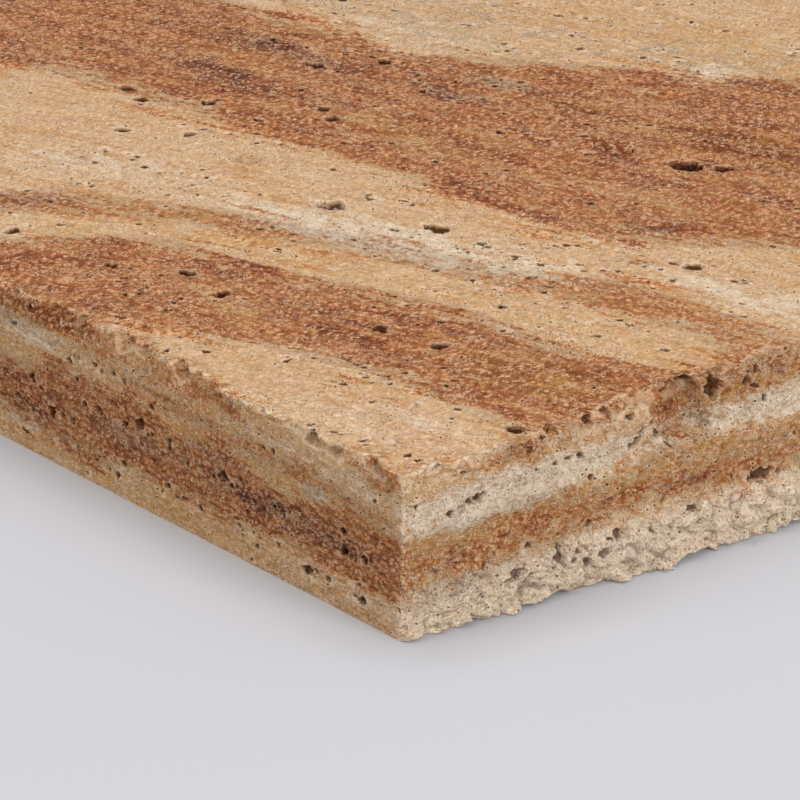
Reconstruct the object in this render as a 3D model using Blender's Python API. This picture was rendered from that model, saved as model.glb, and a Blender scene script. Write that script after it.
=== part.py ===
"""A travertine paver: one slab of banded stone, sawn on two sides and split on the other two.

The slab is shaped in millimetres from the foot of its near corner. x runs back from it along
the near sawn side (0 to -300), y along the near split side (0 to 300), and z up from the
ground (0 to 30). The finished solid is placed in metres, with its origin on the ground under
the middle of its bounding box.
"""

import math
import random
from typing import NamedTuple

import bpy
import numpy as np
from mathutils import noise

# Driving dimensions, in millimetres
SIDE = 300.0
THICKNESS = 30.0
GRID = 1.25
EDGE_LINES = (0.5, 1.1)
SPREAD = 26.0
TRIANGLES = 8800
FLAT_WITHIN = 0.06
MM = 0.001

# Worn arrises: the radius of each kind of edge, and how much it wanders
TOP_ARRIS = 0.8
TOP_ARRIS_WANDER = 0.9
OTHER_ARRIS = 0.35

# Split sides: how far the foot stands out past the top edge, along the side
NEAR_FLARE = ((0, 0.3), (8, 1.4), (20, 2.8), (36, 4.4), (48, 6.2), (60, 7.3), (70, 8.4),
              (86, 9.0), (120, 7.8), (165, 5.4), (210, 7.0), (260, 4.4), (300, 4.8))
FAR_FLARE = ((0, 4.0), (45, 6.6), (95, 8.8), (140, 5.0), (190, 6.8), (245, 7.8), (300, 3.2))
# How far the top edge of the near split side stands in (-) or out (+)
NEAR_RIM = ((0, 0.1), (8, -0.6), (14, 0.2), (23, 0.0), (27, 0.9), (33, -0.1), (43, 0.4),
            (50, -1.1), (57, -0.7), (62, -1.4), (71, -1.5), (77, -0.7), (92, -0.2), (125, -1.3),
            (160, 0.2), (205, -1.6), (240, -0.4), (300, -0.3))
# How far the top edge of the near sawn side is worn in, along the side
NEAR_WEAR = ((0, 0.0), (-7, 1.0), (-14, 1.1), (-18, 0.1), (-23, 1.0), (-29, 0.1), (-46, 0.1),
             (-52, 1.6), (-57, 2.3), (-64, 1.8), (-74, 2.4), (-84, 1.9), (-90, 2.4), (-99, 3.4),
             (-102, 0.8), (-112, 0.2), (-150, 0.4), (-165, 1.9), (-190, 1.2), (-200, 0.2),
             (-255, 0.9), (-300, 0.2))
BED_HEIGHT = 3.8
TOP_SWELL = 0.35


class Dent(NamedTuple):
    """A pore or a broken pocket: the side it is in, its middle, its size and its turn."""

    side: str
    along: float
    across: float
    length: float
    width: float
    depth: float
    turn: float = 0.0
    wall: float = 0.55


# Each side's two in-plane axes and the axis it faces along: x is 0, y is 1, z is 2
SIDES = {
    "top": (0, 1, 2, THICKNESS),
    "near_sawn": (0, 2, 1, 0.0),
    "far_sawn": (0, 2, 1, SIDE),
    "near_split": (1, 2, 0, 0.0),
    "far_split": (1, 2, 0, -SIDE),
}
INWARD = {"top": -1, "near_sawn": 1, "far_sawn": -1, "near_split": -1, "far_split": 1}

# The larger pores and pockets, each placed by hand
DENTS = (
    Dent("top", -78, 137.5, 8, 5, 3.2, 20),
    Dent("top", -94, 133.5, 10, 5, 1.6, 15),
    Dent("top", -72, 142, 4, 3, 1.8),
    Dent("top", -170, 121, 6, 3, 2.0, 15),
    Dent("top", -163, 133, 3.5, 3, 1.6),
    Dent("top", -148, 105, 3.5, 3, 1.8),
    Dent("top", -142, 103, 4.5, 3.5, 2.2, 40),
    Dent("top", -176, 81, 4.5, 3, 1.8, 10),
    Dent("top", -183, 83, 4, 3, 1.5),
    Dent("top", -166, 90, 3.5, 3, 1.4),
    Dent("top", -154, 76, 3.5, 3, 1.4),
    Dent("top", -135, 75, 5.5, 4.5, 1.6, 30),
    Dent("top", -164, 67, 3.5, 3, 1.4),
    Dent("top", -106, 72, 7, 4.5, 2.0, 10),
    Dent("top", -83, 79, 7, 3, 1.4, 5),
    Dent("top", -38, 102, 4, 4, 2.2),
    Dent("top", -4, 27.5, 4.5, 3, 2.2, 25),
    Dent("top", -52, 39, 3, 2.6, 1.5),
    Dent("top", -39, 42, 3, 2.6, 1.5),
    Dent("top", -83, 28, 3.2, 2.8, 1.3),
    Dent("top", -95, 30, 3.2, 2.6, 1.6),
    Dent("top", -133, 18, 3.4, 3, 1.4),
    Dent("near_sawn", -83, 14.7, 3.0, 2.6, 1.6),
    Dent("near_sawn", -71, 15.7, 3.6, 3.4, 2.6, 30),
    Dent("near_sawn", -47.7, 14, 3.8, 3.4, 3.0),
    Dent("near_sawn", -15, 11.2, 2.9, 2.6, 1.6),
    Dent("near_sawn", -10, 11.4, 3.0, 2.8, 2.0),
    Dent("near_sawn", -97, 10, 3.6, 3.0, 2.0),
    Dent("near_sawn", -24.5, 4.2, 5.0, 2.6, 1.8),
    Dent("near_sawn", -10.5, 3.8, 3.2, 2.9, 1.8),
    Dent("near_split", 14.8, 21.3, 6.5, 2.8, 2.2, 15),
    Dent("near_split", 32.4, 7.0, 4.6, 4.4, 2.6),
    Dent("near_split", 22.2, 6.4, 6.0, 4.0, 1.6, 10),
    Dent("near_split", 45.3, 7.9, 3.0, 2.6, 1.4),
    Dent("near_split", 42.0, 5.0, 4.0, 3.0, 1.2),
    Dent("near_split", 77.2, 10.1, 7.0, 2.8, 1.8),
    Dent("near_split", 54.3, 22.2, 6.0, 3.4, 1.2, 20),
    Dent("near_split", 63.0, 25.6, 12.0, 14.0, 2.5, 0, 0.75),
    Dent("near_split", 66.5, 28.6, 3.2, 3.4, 1.6),
    Dent("near_split", 71.6, 26.2, 5.6, 7.0, 3.0, 20),
    Dent("near_split", 79.4, 26.4, 4.4, 8.0, 3.2, -20),
    Dent("near_split", 84.5, 28.6, 4.6, 4.2, 2.0),
    Dent("near_split", 5.5, 28.6, 6.0, 4.6, 1.0),
    Dent("near_split", 25.5, 28.6, 5.5, 5.0, 1.3),
    Dent("near_split", 31.5, 27.4, 6.5, 5.0, 1.3, 10),
    Dent("near_split", 40.5, 29.0, 3.4, 4.0, 2.0),
    Dent("near_split", 45.0, 28.8, 5.0, 3.6, 1.2),
)
# The quarter of the top and the stretches of the near sides where every dent is placed by hand
SURVEYED_TOP = ((8, -8), (-112, -8), (-245, 96), (-136, 226), (8, 92))
SURVEYED_NEAR_SAWN = -112.0
SURVEYED_NEAR_SPLIT = 92.0
# Hollows under the foot of the near split side: along the side, length, height
NEAR_FOOT_HOLLOWS = ((13.5, 7, 1.1), (24.5, 6, 0.8), (31, 8, 1.0), (60, 12, 1.3), (84, 7, 0.8),
                     (118, 14, 1.3), (151, 8, 1.0), (187, 16, 1.5), (229, 9, 1.0), (262, 13, 1.4))
FAR_FOOT_HOLLOWS = ((22, 12, 1.3), (58, 8, 1.0), (101, 15, 1.5), (149, 9, 1.0), (196, 13, 1.4),
                    (240, 8, 1.0), (277, 11, 1.2))


def smoothstep(low, high, value):
    """0 below low, 1 above high, and a smooth rise between them."""
    t = np.clip((value - low) / (high - low), 0.0, 1.0)
    return t * t * (3.0 - 2.0 * t)


def along_table(table, value):
    """The height of a hand-drawn profile at each value."""
    places, heights = zip(*sorted(table))
    return np.interp(value, places, heights)


def waves(points, length, seed):
    """Smooth noise from about -1 to 1 at each point; length is the size of its waves in mm."""
    scaled = points / np.asarray(length, float) + np.array((seed, 2.7 * seed, 5.3 * seed))
    return np.array([noise.noise(p) for p in scaled])


def ruled_lines(low, high, step):
    """Evenly spaced lines from low to high, with closer ones beside both ends."""
    count = round((high - low) / step)
    inner = np.linspace(low, high, count + 1)[2:-2]
    near = [low, *(low + line for line in EDGE_LINES)]
    far = [*(high - line for line in reversed(EDGE_LINES)), high]
    return np.array([*near, *inner, *far])


def ruled_box(xs, ys, zs):
    """The points and the four-sided faces of a closed box ruled along the given lines."""
    lines = (xs, ys, zs)
    points, index, faces = [], {}, []

    def point(at):
        if at not in index:
            index[at] = len(points)
            points.append([lines[axis][at[axis]] for axis in range(3)])
        return index[at]

    for flat in range(3):
        u, v = (flat + 1) % 3, (flat + 2) % 3
        for end in (0, len(lines[flat]) - 1):
            for i in range(len(lines[u]) - 1):
                for j in range(len(lines[v]) - 1):
                    corners = []
                    for di, dj in ((0, 0), (1, 0), (1, 1), (0, 1)):
                        at = [0, 0, 0]
                        at[flat], at[u], at[v] = end, i + di, j + dj
                        corners.append(point(tuple(at)))
                    faces.append(corners if end else corners[::-1])
    return np.array(points), faces


def round_arrises(box):
    """Wears every edge of the box to a radius that wanders along it."""
    wander = waves(box, (14, 14, 14), 3) + 0.6 * waves(box, (4, 4, 6), 8)
    top_radius = TOP_ARRIS + TOP_ARRIS_WANDER * np.clip(wander, -0.5, 1.0)
    is_low = smoothstep(THICKNESS - 2, THICKNESS - 5, box[:, 2])
    radius = (top_radius * (1 - is_low) + OTHER_ARRIS * is_low)[:, None]
    low = np.array((-SIDE, 0.0, 0.0)) + radius
    high = np.array((0.0, SIDE, THICKNESS)) - radius
    # The ground edges stay at the foot, so the flat underside keeps its full size
    low[:, 2] = np.minimum(low[:, 2], box[:, 2])
    inner = np.clip(box, low, high)
    reach = box - inner
    length = np.linalg.norm(reach, axis=1, keepdims=True)
    return np.where(length > radius, inner + reach * radius / np.maximum(length, 1e-9), box)


def split_relief(along, up, flare, rim, seed):
    """How far a split side stands out past its nominal plane, at each place on it."""
    place = np.stack((along, up, np.zeros_like(up)), axis=1)
    height = np.clip(up / THICKNESS, 0.0, 1.0)
    slant = along_table(flare, along) * (1.0 - height) + along_table(rim, along) * height ** 3
    bed = (up + 1.4 * waves(place, (34, 60, 1), seed)) / BED_HEIGHT
    which = np.floor(bed)
    lower = waves(np.stack((along / 21, which * 3.1, which), axis=1), 1, seed + 4)
    upper = waves(np.stack((along / 21, (which + 1) * 3.1, which + 1), axis=1), 1, seed + 4)
    ledges = lower + (upper - lower) * smoothstep(0.66, 1.0, bed - which)
    lumps = 1.0 * waves(place, (13, 9, 1), seed + 11) + 0.45 * waves(place, (5, 3.6, 1), seed + 17)
    foot = 1.0 - smoothstep(6, 11, up)
    roughness = 0.75 + 0.6 * foot
    from_ends = np.minimum(along, SIDE - along)
    inner = 0.12 + 0.88 * smoothstep(0, 9, from_ends)
    return slant + inner * (0.95 * ledges + roughness * lumps)


def shape_split_sides(points, box):
    """Pushes both split sides in and out, and lets the top and underside follow."""
    for start, out, flare, rim, seed in (
        (0.0, 1, NEAR_FLARE, NEAR_RIM, 21),
        (-SIDE, -1, FAR_FLARE, [(y + 3, -0.8 * r) for y, r in NEAR_RIM], 57),
    ):
        depth = np.abs(box[:, 0] - start)
        near = depth < SPREAD
        relief = split_relief(box[near, 1], box[near, 2], flare, rim, seed)
        points[near, 0] += out * relief * (1.0 - smoothstep(0, SPREAD, depth[near]))


def shape_sawn_sides(points, box):
    """Wears the sawn sides in along their top edges and leaves the rest nearly flat."""
    for start, inward, wear in (
        (0.0, 1, NEAR_WEAR),
        (SIDE, -1, [(-SIDE - x, 0.8 * w) for x, w in NEAR_WEAR]),
    ):
        depth = np.abs(box[:, 1] - start)
        near = depth < SPREAD
        place = box[near]
        worn = along_table(wear, place[:, 0]) * smoothstep(THICKNESS - 6.5, THICKNESS, place[:, 2])
        worn *= 1.0 + 0.3 * waves(place, (5, 5, 5), 31)
        saw_marks = 0.12 * (1.0 + waves(place, (30, 30, 7), 35))
        points[near, 1] += inward * (worn + saw_marks) * (1.0 - smoothstep(0, SPREAD, depth[near]))


def swell_top(points, box):
    """Lets the brushed top dip by a few tenths of a millimetre, with the softer bands lower."""
    high = box[:, 2] > THICKNESS - 4
    place = box[high]
    swell = 0.6 * waves(place, (70, 26, 200), 41) + 0.4 * waves(place, (24, 11, 200), 44)
    edge = smoothstep(THICKNESS - 4, THICKNESS, place[:, 2])
    points[high, 2] -= TOP_SWELL * (0.5 + swell.clip(-0.5, 1.0)) * edge


def lift_foot(points, box):
    """Hollows the foot of each split side, so that it touches the ground only in places."""
    for start, hollows, seed in ((0.0, NEAR_FOOT_HOLLOWS, 61), (-SIDE, FAR_FOOT_HOLLOWS, 67)):
        depth = np.abs(box[:, 0] - start)
        near = (depth < 9) & (box[:, 2] < 9)
        place = box[near]
        lift = 0.15 + 0.4 * waves(place, (200, 7, 200), seed)
        for middle, length, height in hollows:
            across = (place[:, 1] - middle) / (0.5 * length)
            lift = np.maximum(lift, height * (1.0 - smoothstep(0.35, 1.0, np.abs(across))))
        from_ends = np.minimum(place[:, 1], SIDE - place[:, 1])
        fade = (1.0 - smoothstep(1.5, 8, depth[near])) * (1.0 - smoothstep(1, 9, place[:, 2]))
        points[near, 2] += lift.clip(0.0) * fade * smoothstep(1, 7, from_ends)


def surveyed(x, y):
    """Whether a place on the top lies in the part whose dents are all placed by hand."""
    corners = zip(SURVEYED_TOP, SURVEYED_TOP[1:] + SURVEYED_TOP[:1])
    return all((bx - ax) * (y - ay) - (by - ay) * (x - ax) <= 0 for (ax, ay), (bx, by) in corners)


def scattered_dents():
    """Dents for the rest of the slab, of the same sizes as the ones placed by hand."""
    rng = random.Random(16)
    dents = []

    def add(side, along, across):
        length = rng.uniform(3.2, 8.0) if rng.random() < 0.3 else rng.uniform(3.0, 4.4)
        width = length * rng.uniform(0.5, 0.95)
        dents.append(Dent(side, along, across, length, width, 0.45 * width, rng.uniform(-5, 35)))

    while len(dents) < 46:
        x, y = rng.uniform(12 - SIDE, -12), rng.uniform(12, SIDE - 12)
        if not surveyed(x, y):
            add("top", x, y)
    for side in ("near_sawn", "far_sawn", "near_split", "far_split"):
        for along in np.arange(14, SIDE - 8, 17.0):
            place = along + rng.uniform(-6, 6)
            up = rng.choice((rng.uniform(3.5, 7), rng.uniform(10, 16), rng.uniform(19, 24)))
            sawn = side.endswith("sawn")
            if side == "near_sawn" and -place > SURVEYED_NEAR_SAWN:
                continue
            if side == "near_split" and place < SURVEYED_NEAR_SPLIT:
                continue
            add(side, -place if sawn else place, up)
    return dents


def press_dent(points, box, dent):
    """Sinks one pore or pocket into its side, with a ragged rim and steep walls."""
    u, v, flat, level = SIDES[dent.side]
    reach = max(dent.length, dent.width)
    near = np.flatnonzero(
        (np.abs(box[:, flat] - level) < 1e-6)
        & (np.abs(box[:, u] - dent.along) < reach)
        & (np.abs(box[:, v] - dent.across) < reach)
    )
    place = box[near]
    du, dv = place[:, u] - dent.along, place[:, v] - dent.across
    turn = math.radians(dent.turn)
    along = (du * math.cos(turn) + dv * math.sin(turn)) / (0.5 * dent.length)
    across = (dv * math.cos(turn) - du * math.sin(turn)) / (0.5 * dent.width)
    ragged = 0.22 * waves(place, (2.6, 2.6, 2.6), 71)
    inside = 1.0 - smoothstep(dent.wall, 1.05, np.hypot(along, across) + ragged)
    points[near, flat] += INWARD[dent.side] * dent.depth * inside


def slab_points():
    """The shaped slab's points, in metres about its origin, and its faces."""
    xs = ruled_lines(-SIDE, 0.0, GRID)
    ys = ruled_lines(0.0, SIDE, GRID)
    zs = ruled_lines(0.0, THICKNESS, GRID)
    box, faces = ruled_box(xs, ys, zs)
    points = round_arrises(box)
    shape_sawn_sides(points, box)
    shape_split_sides(points, box)
    swell_top(points, box)
    lift_foot(points, box)
    for dent in (*DENTS, *scattered_dents()):
        press_dent(points, box, dent)
    points[:, :2] -= (points[:, :2].min(axis=0) + points[:, :2].max(axis=0)) / 2
    return points * MM, faces


def travertine():
    """Warm, matt, brushed stone."""
    material = bpy.data.materials.new("travertine")
    material.use_nodes = True
    shader = material.node_tree.nodes["Principled BSDF"]
    shader.inputs["Base Color"].default_value = (0.50, 0.29, 0.15, 1.0)
    shader.inputs["Roughness"].default_value = 0.72
    shader.inputs["Metallic"].default_value = 0.0
    material.diffuse_color = (0.50, 0.29, 0.15, 1.0)
    return material


def thin_flat_stone(slab):
    """Thins the close grid where the stone is flat, and sets the underside in one plane."""
    thin = slab.modifiers.new("thin", "DECIMATE")
    thin.ratio = TRIANGLES / (2 * len(slab.data.polygons))
    close = slab.data
    graph = bpy.context.evaluated_depsgraph_get()
    slab.data = bpy.data.meshes.new_from_object(slab.evaluated_get(graph))
    slab.modifiers.remove(thin)
    bpy.data.meshes.remove(close)
    slab.data.name = slab.name
    for vertex in slab.data.vertices:
        if vertex.co.z < FLAT_WITHIN * MM:
            vertex.co.z = 0.0


def build_slab():
    """The slab as one object, standing on the ground."""
    points, faces = slab_points()
    mesh = bpy.data.meshes.new("travertine_slab")
    mesh.from_pydata(points.tolist(), [], faces)
    mesh.materials.append(travertine())
    slab = bpy.data.objects.new("travertine_slab", mesh)
    bpy.context.scene.collection.objects.link(slab)
    thin_flat_stone(slab)
    slab.data.shade_smooth()
    slab.data.set_sharp_from_angle(angle=math.radians(40))
    return slab


def main():
    for old in list(bpy.data.objects):
        bpy.data.objects.remove(old, do_unlink=True)
    build_slab()


main()
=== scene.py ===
"""Gives the travertine paver the skin and the finish of the real stone, in a plain studio.

The stone is shaped in millimetres from the foot of its near corner, as the solid is. x runs
back from it along the near sawn side (0 to -300), y along the near split side (0 to 300), and
z up from the ground (0 to 30). Only the finished mesh is moved to the frame, in metres.
"""
import logging
import math
import random
from collections.abc import Iterator, Sequence
from dataclasses import dataclass, field, replace
from enum import Enum

import bmesh
import bpy
import numpy as np
from mathutils import Matrix, Vector, noise


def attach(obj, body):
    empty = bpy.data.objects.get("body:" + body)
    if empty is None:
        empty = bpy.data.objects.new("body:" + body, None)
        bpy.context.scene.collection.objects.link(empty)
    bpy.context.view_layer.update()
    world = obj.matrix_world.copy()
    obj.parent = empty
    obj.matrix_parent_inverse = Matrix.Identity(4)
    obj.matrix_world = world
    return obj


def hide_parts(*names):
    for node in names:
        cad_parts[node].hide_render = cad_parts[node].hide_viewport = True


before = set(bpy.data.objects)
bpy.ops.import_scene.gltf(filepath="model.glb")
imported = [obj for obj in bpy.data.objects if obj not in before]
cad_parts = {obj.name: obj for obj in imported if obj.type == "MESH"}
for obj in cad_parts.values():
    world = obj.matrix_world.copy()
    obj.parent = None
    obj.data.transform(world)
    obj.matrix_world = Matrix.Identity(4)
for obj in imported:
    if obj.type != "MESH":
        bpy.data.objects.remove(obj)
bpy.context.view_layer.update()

log = logging.getLogger("travertine")
Array = np.ndarray
Table = Sequence[tuple[float, float]]
Rgba = tuple[float, float, float, float]
MM = 0.001
SIDE = 300.0
THICKNESS = 30.0
SPREAD = 26.0
# Where the near corner stands in the frame, whose origin is under the middle of the solid
NEAR_CORNER = (150.0, -149.975)


def smoothstep(low: float, high: float, value: Array) -> Array:
    """A smooth rise from 0 to 1.

    Args:
        low: where the rise starts; above high, the rise runs the other way.
        high: where it ends.
        value: the numbers to look up.

    Returns:
        0 before low, 1 past high, and a smooth blend between them.
    """
    t = np.clip((value - low) / (high - low), 0.0, 1.0)
    return t * t * (3.0 - 2.0 * t)


def along_table(table: Table, value: Array) -> Array:
    """The height of a profile given by points.

    Args:
        table: pairs of a place and the height there.
        value: the places to look up.

    Returns:
        The height at each place, straight between the pairs.
    """
    places, heights = zip(*sorted(table))
    return np.interp(value, places, heights)


def waves(points: Array, length: float | tuple[float, float, float], seed: float) -> Array:
    """Smooth noise.

    Args:
        points: places in mm, one a row.
        length: the size of the waves in mm, for all axes or one by one.
        seed: picks one pattern from the many.

    Returns:
        A number from about -1 to 1 for each place.
    """
    scaled = points / np.asarray(length, float) + np.array((seed, 2.7 * seed, 5.3 * seed))
    return np.array([noise.noise(p) for p in scaled])


def in_oval(du: Array, dv: Array, length: float, width: float,
            turn: float) -> tuple[Array, Array]:
    """Places measured in a turned oval's own directions.

    Args:
        du: how far each place lies from the oval's middle along the face's first axis, in mm.
        dv: how far it lies from it along the second.
        length: the oval's length.
        width: its width.
        turn: how far it is turned, in degrees.

    Returns:
        The places along and across the oval, 1 at its rim.
    """
    angle = math.radians(turn)
    along = (du * math.cos(angle) + dv * math.sin(angle)) / (0.5 * length)
    across = (dv * math.cos(angle) - du * math.sin(angle)) / (0.5 * width)
    return along, across


def notched(chips: Array, below: Array) -> Array:
    """How much painted shade the bites along a top edge get, where they are deep enough.

    Args:
        chips: how deep the bites are, in mm.
        below: how far each point lies below the top, in mm.

    Returns:
        From 0 to 1 for each point.
    """
    return smoothstep(0.35, 1.0, chips) * smoothstep(0.2, 1.0, below)


class Face(Enum):
    """The faces of the slab, with their two in-plane axes, the axis they look along and inwards."""

    TOP = (0, 1, 2, -1)
    UNDERSIDE = (0, 1, 2, 1)
    NEAR_SAWN = (0, 2, 1, 1)
    FAR_SAWN = (0, 2, 1, -1)
    NEAR_SPLIT = (1, 2, 0, -1)
    FAR_SPLIT = (1, 2, 0, 1)

    @property
    def sawn(self) -> bool:
        """Whether the face is one of the two sawn sides."""
        return self in (Face.NEAR_SAWN, Face.FAR_SAWN)


@dataclass(frozen=True)
class Dent:
    """A pore or a broken pocket, by its face, its middle, its size and its turn in degrees."""

    face: Face
    along: float
    across: float
    length: float
    width: float
    depth: float
    turn: float = 0.0
    wall: float = 0.55


# The larger pores and pockets, each with a place of its own. Those of the near split side that the
# photo shows were measured on it through its camera.
DENTS = (
    Dent(Face.TOP, -78, 137.5, 8, 5, 3.2, 20),
    Dent(Face.TOP, -94, 133.5, 10, 5, 1.6, 15),
    Dent(Face.TOP, -72, 142, 4, 3, 1.8),
    Dent(Face.TOP, -170, 121, 6, 3, 2.0, 15),
    Dent(Face.TOP, -163, 133, 3.5, 3, 1.6),
    Dent(Face.TOP, -148, 105, 3.5, 3, 1.8),
    Dent(Face.TOP, -142, 103, 4.5, 3.5, 2.2, 40),
    Dent(Face.TOP, -176, 81, 4.5, 3, 1.8, 10),
    Dent(Face.TOP, -183, 83, 4, 3, 1.5),
    Dent(Face.TOP, -166, 90, 3.5, 3, 1.4),
    Dent(Face.TOP, -154, 76, 3.5, 3, 1.4),
    Dent(Face.TOP, -135, 75, 5.5, 4.5, 1.6, 30),
    Dent(Face.TOP, -164, 67, 3.5, 3, 1.4),
    Dent(Face.TOP, -106, 72, 7, 4.5, 2.0, 10),
    Dent(Face.TOP, -83, 79, 7, 3, 1.4, 5),
    Dent(Face.TOP, -38, 102, 4, 4, 2.2),
    Dent(Face.TOP, -4, 27.5, 4.5, 3, 2.2, 25),
    Dent(Face.TOP, -52, 39, 3, 2.6, 1.5),
    Dent(Face.TOP, -39, 42, 3, 2.6, 1.5),
    Dent(Face.TOP, -83, 28, 3.2, 2.8, 1.3),
    Dent(Face.TOP, -95, 30, 3.2, 2.6, 1.6),
    Dent(Face.TOP, -133, 18, 3.4, 3, 1.4),
    Dent(Face.NEAR_SAWN, -83, 14.7, 2.3, 2.0, 1.2),
    Dent(Face.NEAR_SAWN, -71, 15.7, 2.7, 2.6, 2.0, 30),
    Dent(Face.NEAR_SAWN, -47.7, 14, 2.9, 2.6, 2.3),
    Dent(Face.NEAR_SAWN, -15, 11.2, 2.2, 2.0, 1.2),
    Dent(Face.NEAR_SAWN, -10, 11.4, 2.3, 2.1, 1.5),
    Dent(Face.NEAR_SAWN, -97, 10, 2.7, 2.3, 1.5),
    Dent(Face.NEAR_SAWN, -24.5, 4.2, 3.8, 2.0, 1.4),
    Dent(Face.NEAR_SAWN, -10.5, 3.8, 2.4, 2.2, 1.4),
    Dent(Face.NEAR_SPLIT, 14.2, 21.2, 6.0, 2.2, 0.5, 15),
    Dent(Face.NEAR_SPLIT, 16.9, 21.9, 2.6, 1.8, 1.7, 15),
    Dent(Face.NEAR_SPLIT, 32.4, 7.0, 3.5, 3.3, 2.0),
    Dent(Face.NEAR_SPLIT, 22.2, 6.4, 4.6, 3.0, 1.2, 10),
    Dent(Face.NEAR_SPLIT, 45.3, 7.9, 2.3, 2.0, 1.1),
    Dent(Face.NEAR_SPLIT, 42.0, 5.0, 3.0, 2.3, 0.9),
    Dent(Face.NEAR_SPLIT, 77.2, 10.1, 5.3, 2.1, 1.4),
    Dent(Face.NEAR_SPLIT, 54.3, 22.2, 6.0, 3.4, 0.6, 20),
    Dent(Face.NEAR_SPLIT, 63.0, 25.6, 12.0, 12.0, 3.4, 0, 0.85),
    Dent(Face.NEAR_SPLIT, 66.5, 28.6, 2.4, 2.6, 1.2),
    Dent(Face.NEAR_SPLIT, 70.0, 26.6, 7.0, 6.4, 1.2, 10, 0.7),
    Dent(Face.NEAR_SPLIT, 71.6, 26.0, 3.2, 4.2, 2.0, 20),
    Dent(Face.NEAR_SPLIT, 79.4, 26.4, 5.0, 7.0, 1.0, -20, 0.7),
    Dent(Face.NEAR_SPLIT, 78.8, 26.0, 2.2, 4.6, 2.0, -20),
    Dent(Face.NEAR_SPLIT, 84.5, 28.6, 3.5, 3.2, 0.8),
    Dent(Face.NEAR_SPLIT, 5.5, 28.6, 4.6, 3.5, 0.8),
    Dent(Face.NEAR_SPLIT, 25.5, 28.6, 4.2, 3.8, 1.0),
    Dent(Face.NEAR_SPLIT, 31.5, 27.4, 4.9, 3.8, 1.0, 10),
    Dent(Face.NEAR_SPLIT, 40.5, 29.0, 2.6, 3.0, 1.5),
    Dent(Face.NEAR_SPLIT, 45.0, 28.8, 3.8, 2.7, 0.9),
)


@dataclass
class Patch:
    """One face of the skin as a grid of its points."""

    face: Face
    index: Array
    u_lines: Array
    v_lines: Array

    def block(self, u: float, v: float, reach: float) -> Array:
        """The points near a place.

        Args:
            u: the place along the first in-plane axis.
            v: the place along the second.
            reach: how far to look, in mm.

        Returns:
            The indices of the points in that square.
        """
        i0, i1 = np.searchsorted(self.u_lines, (u - reach, u + reach))
        j0, j1 = np.searchsorted(self.v_lines, (v - reach, v + reach))
        return self.index[i0:i1, j0:j1].ravel()


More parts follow.
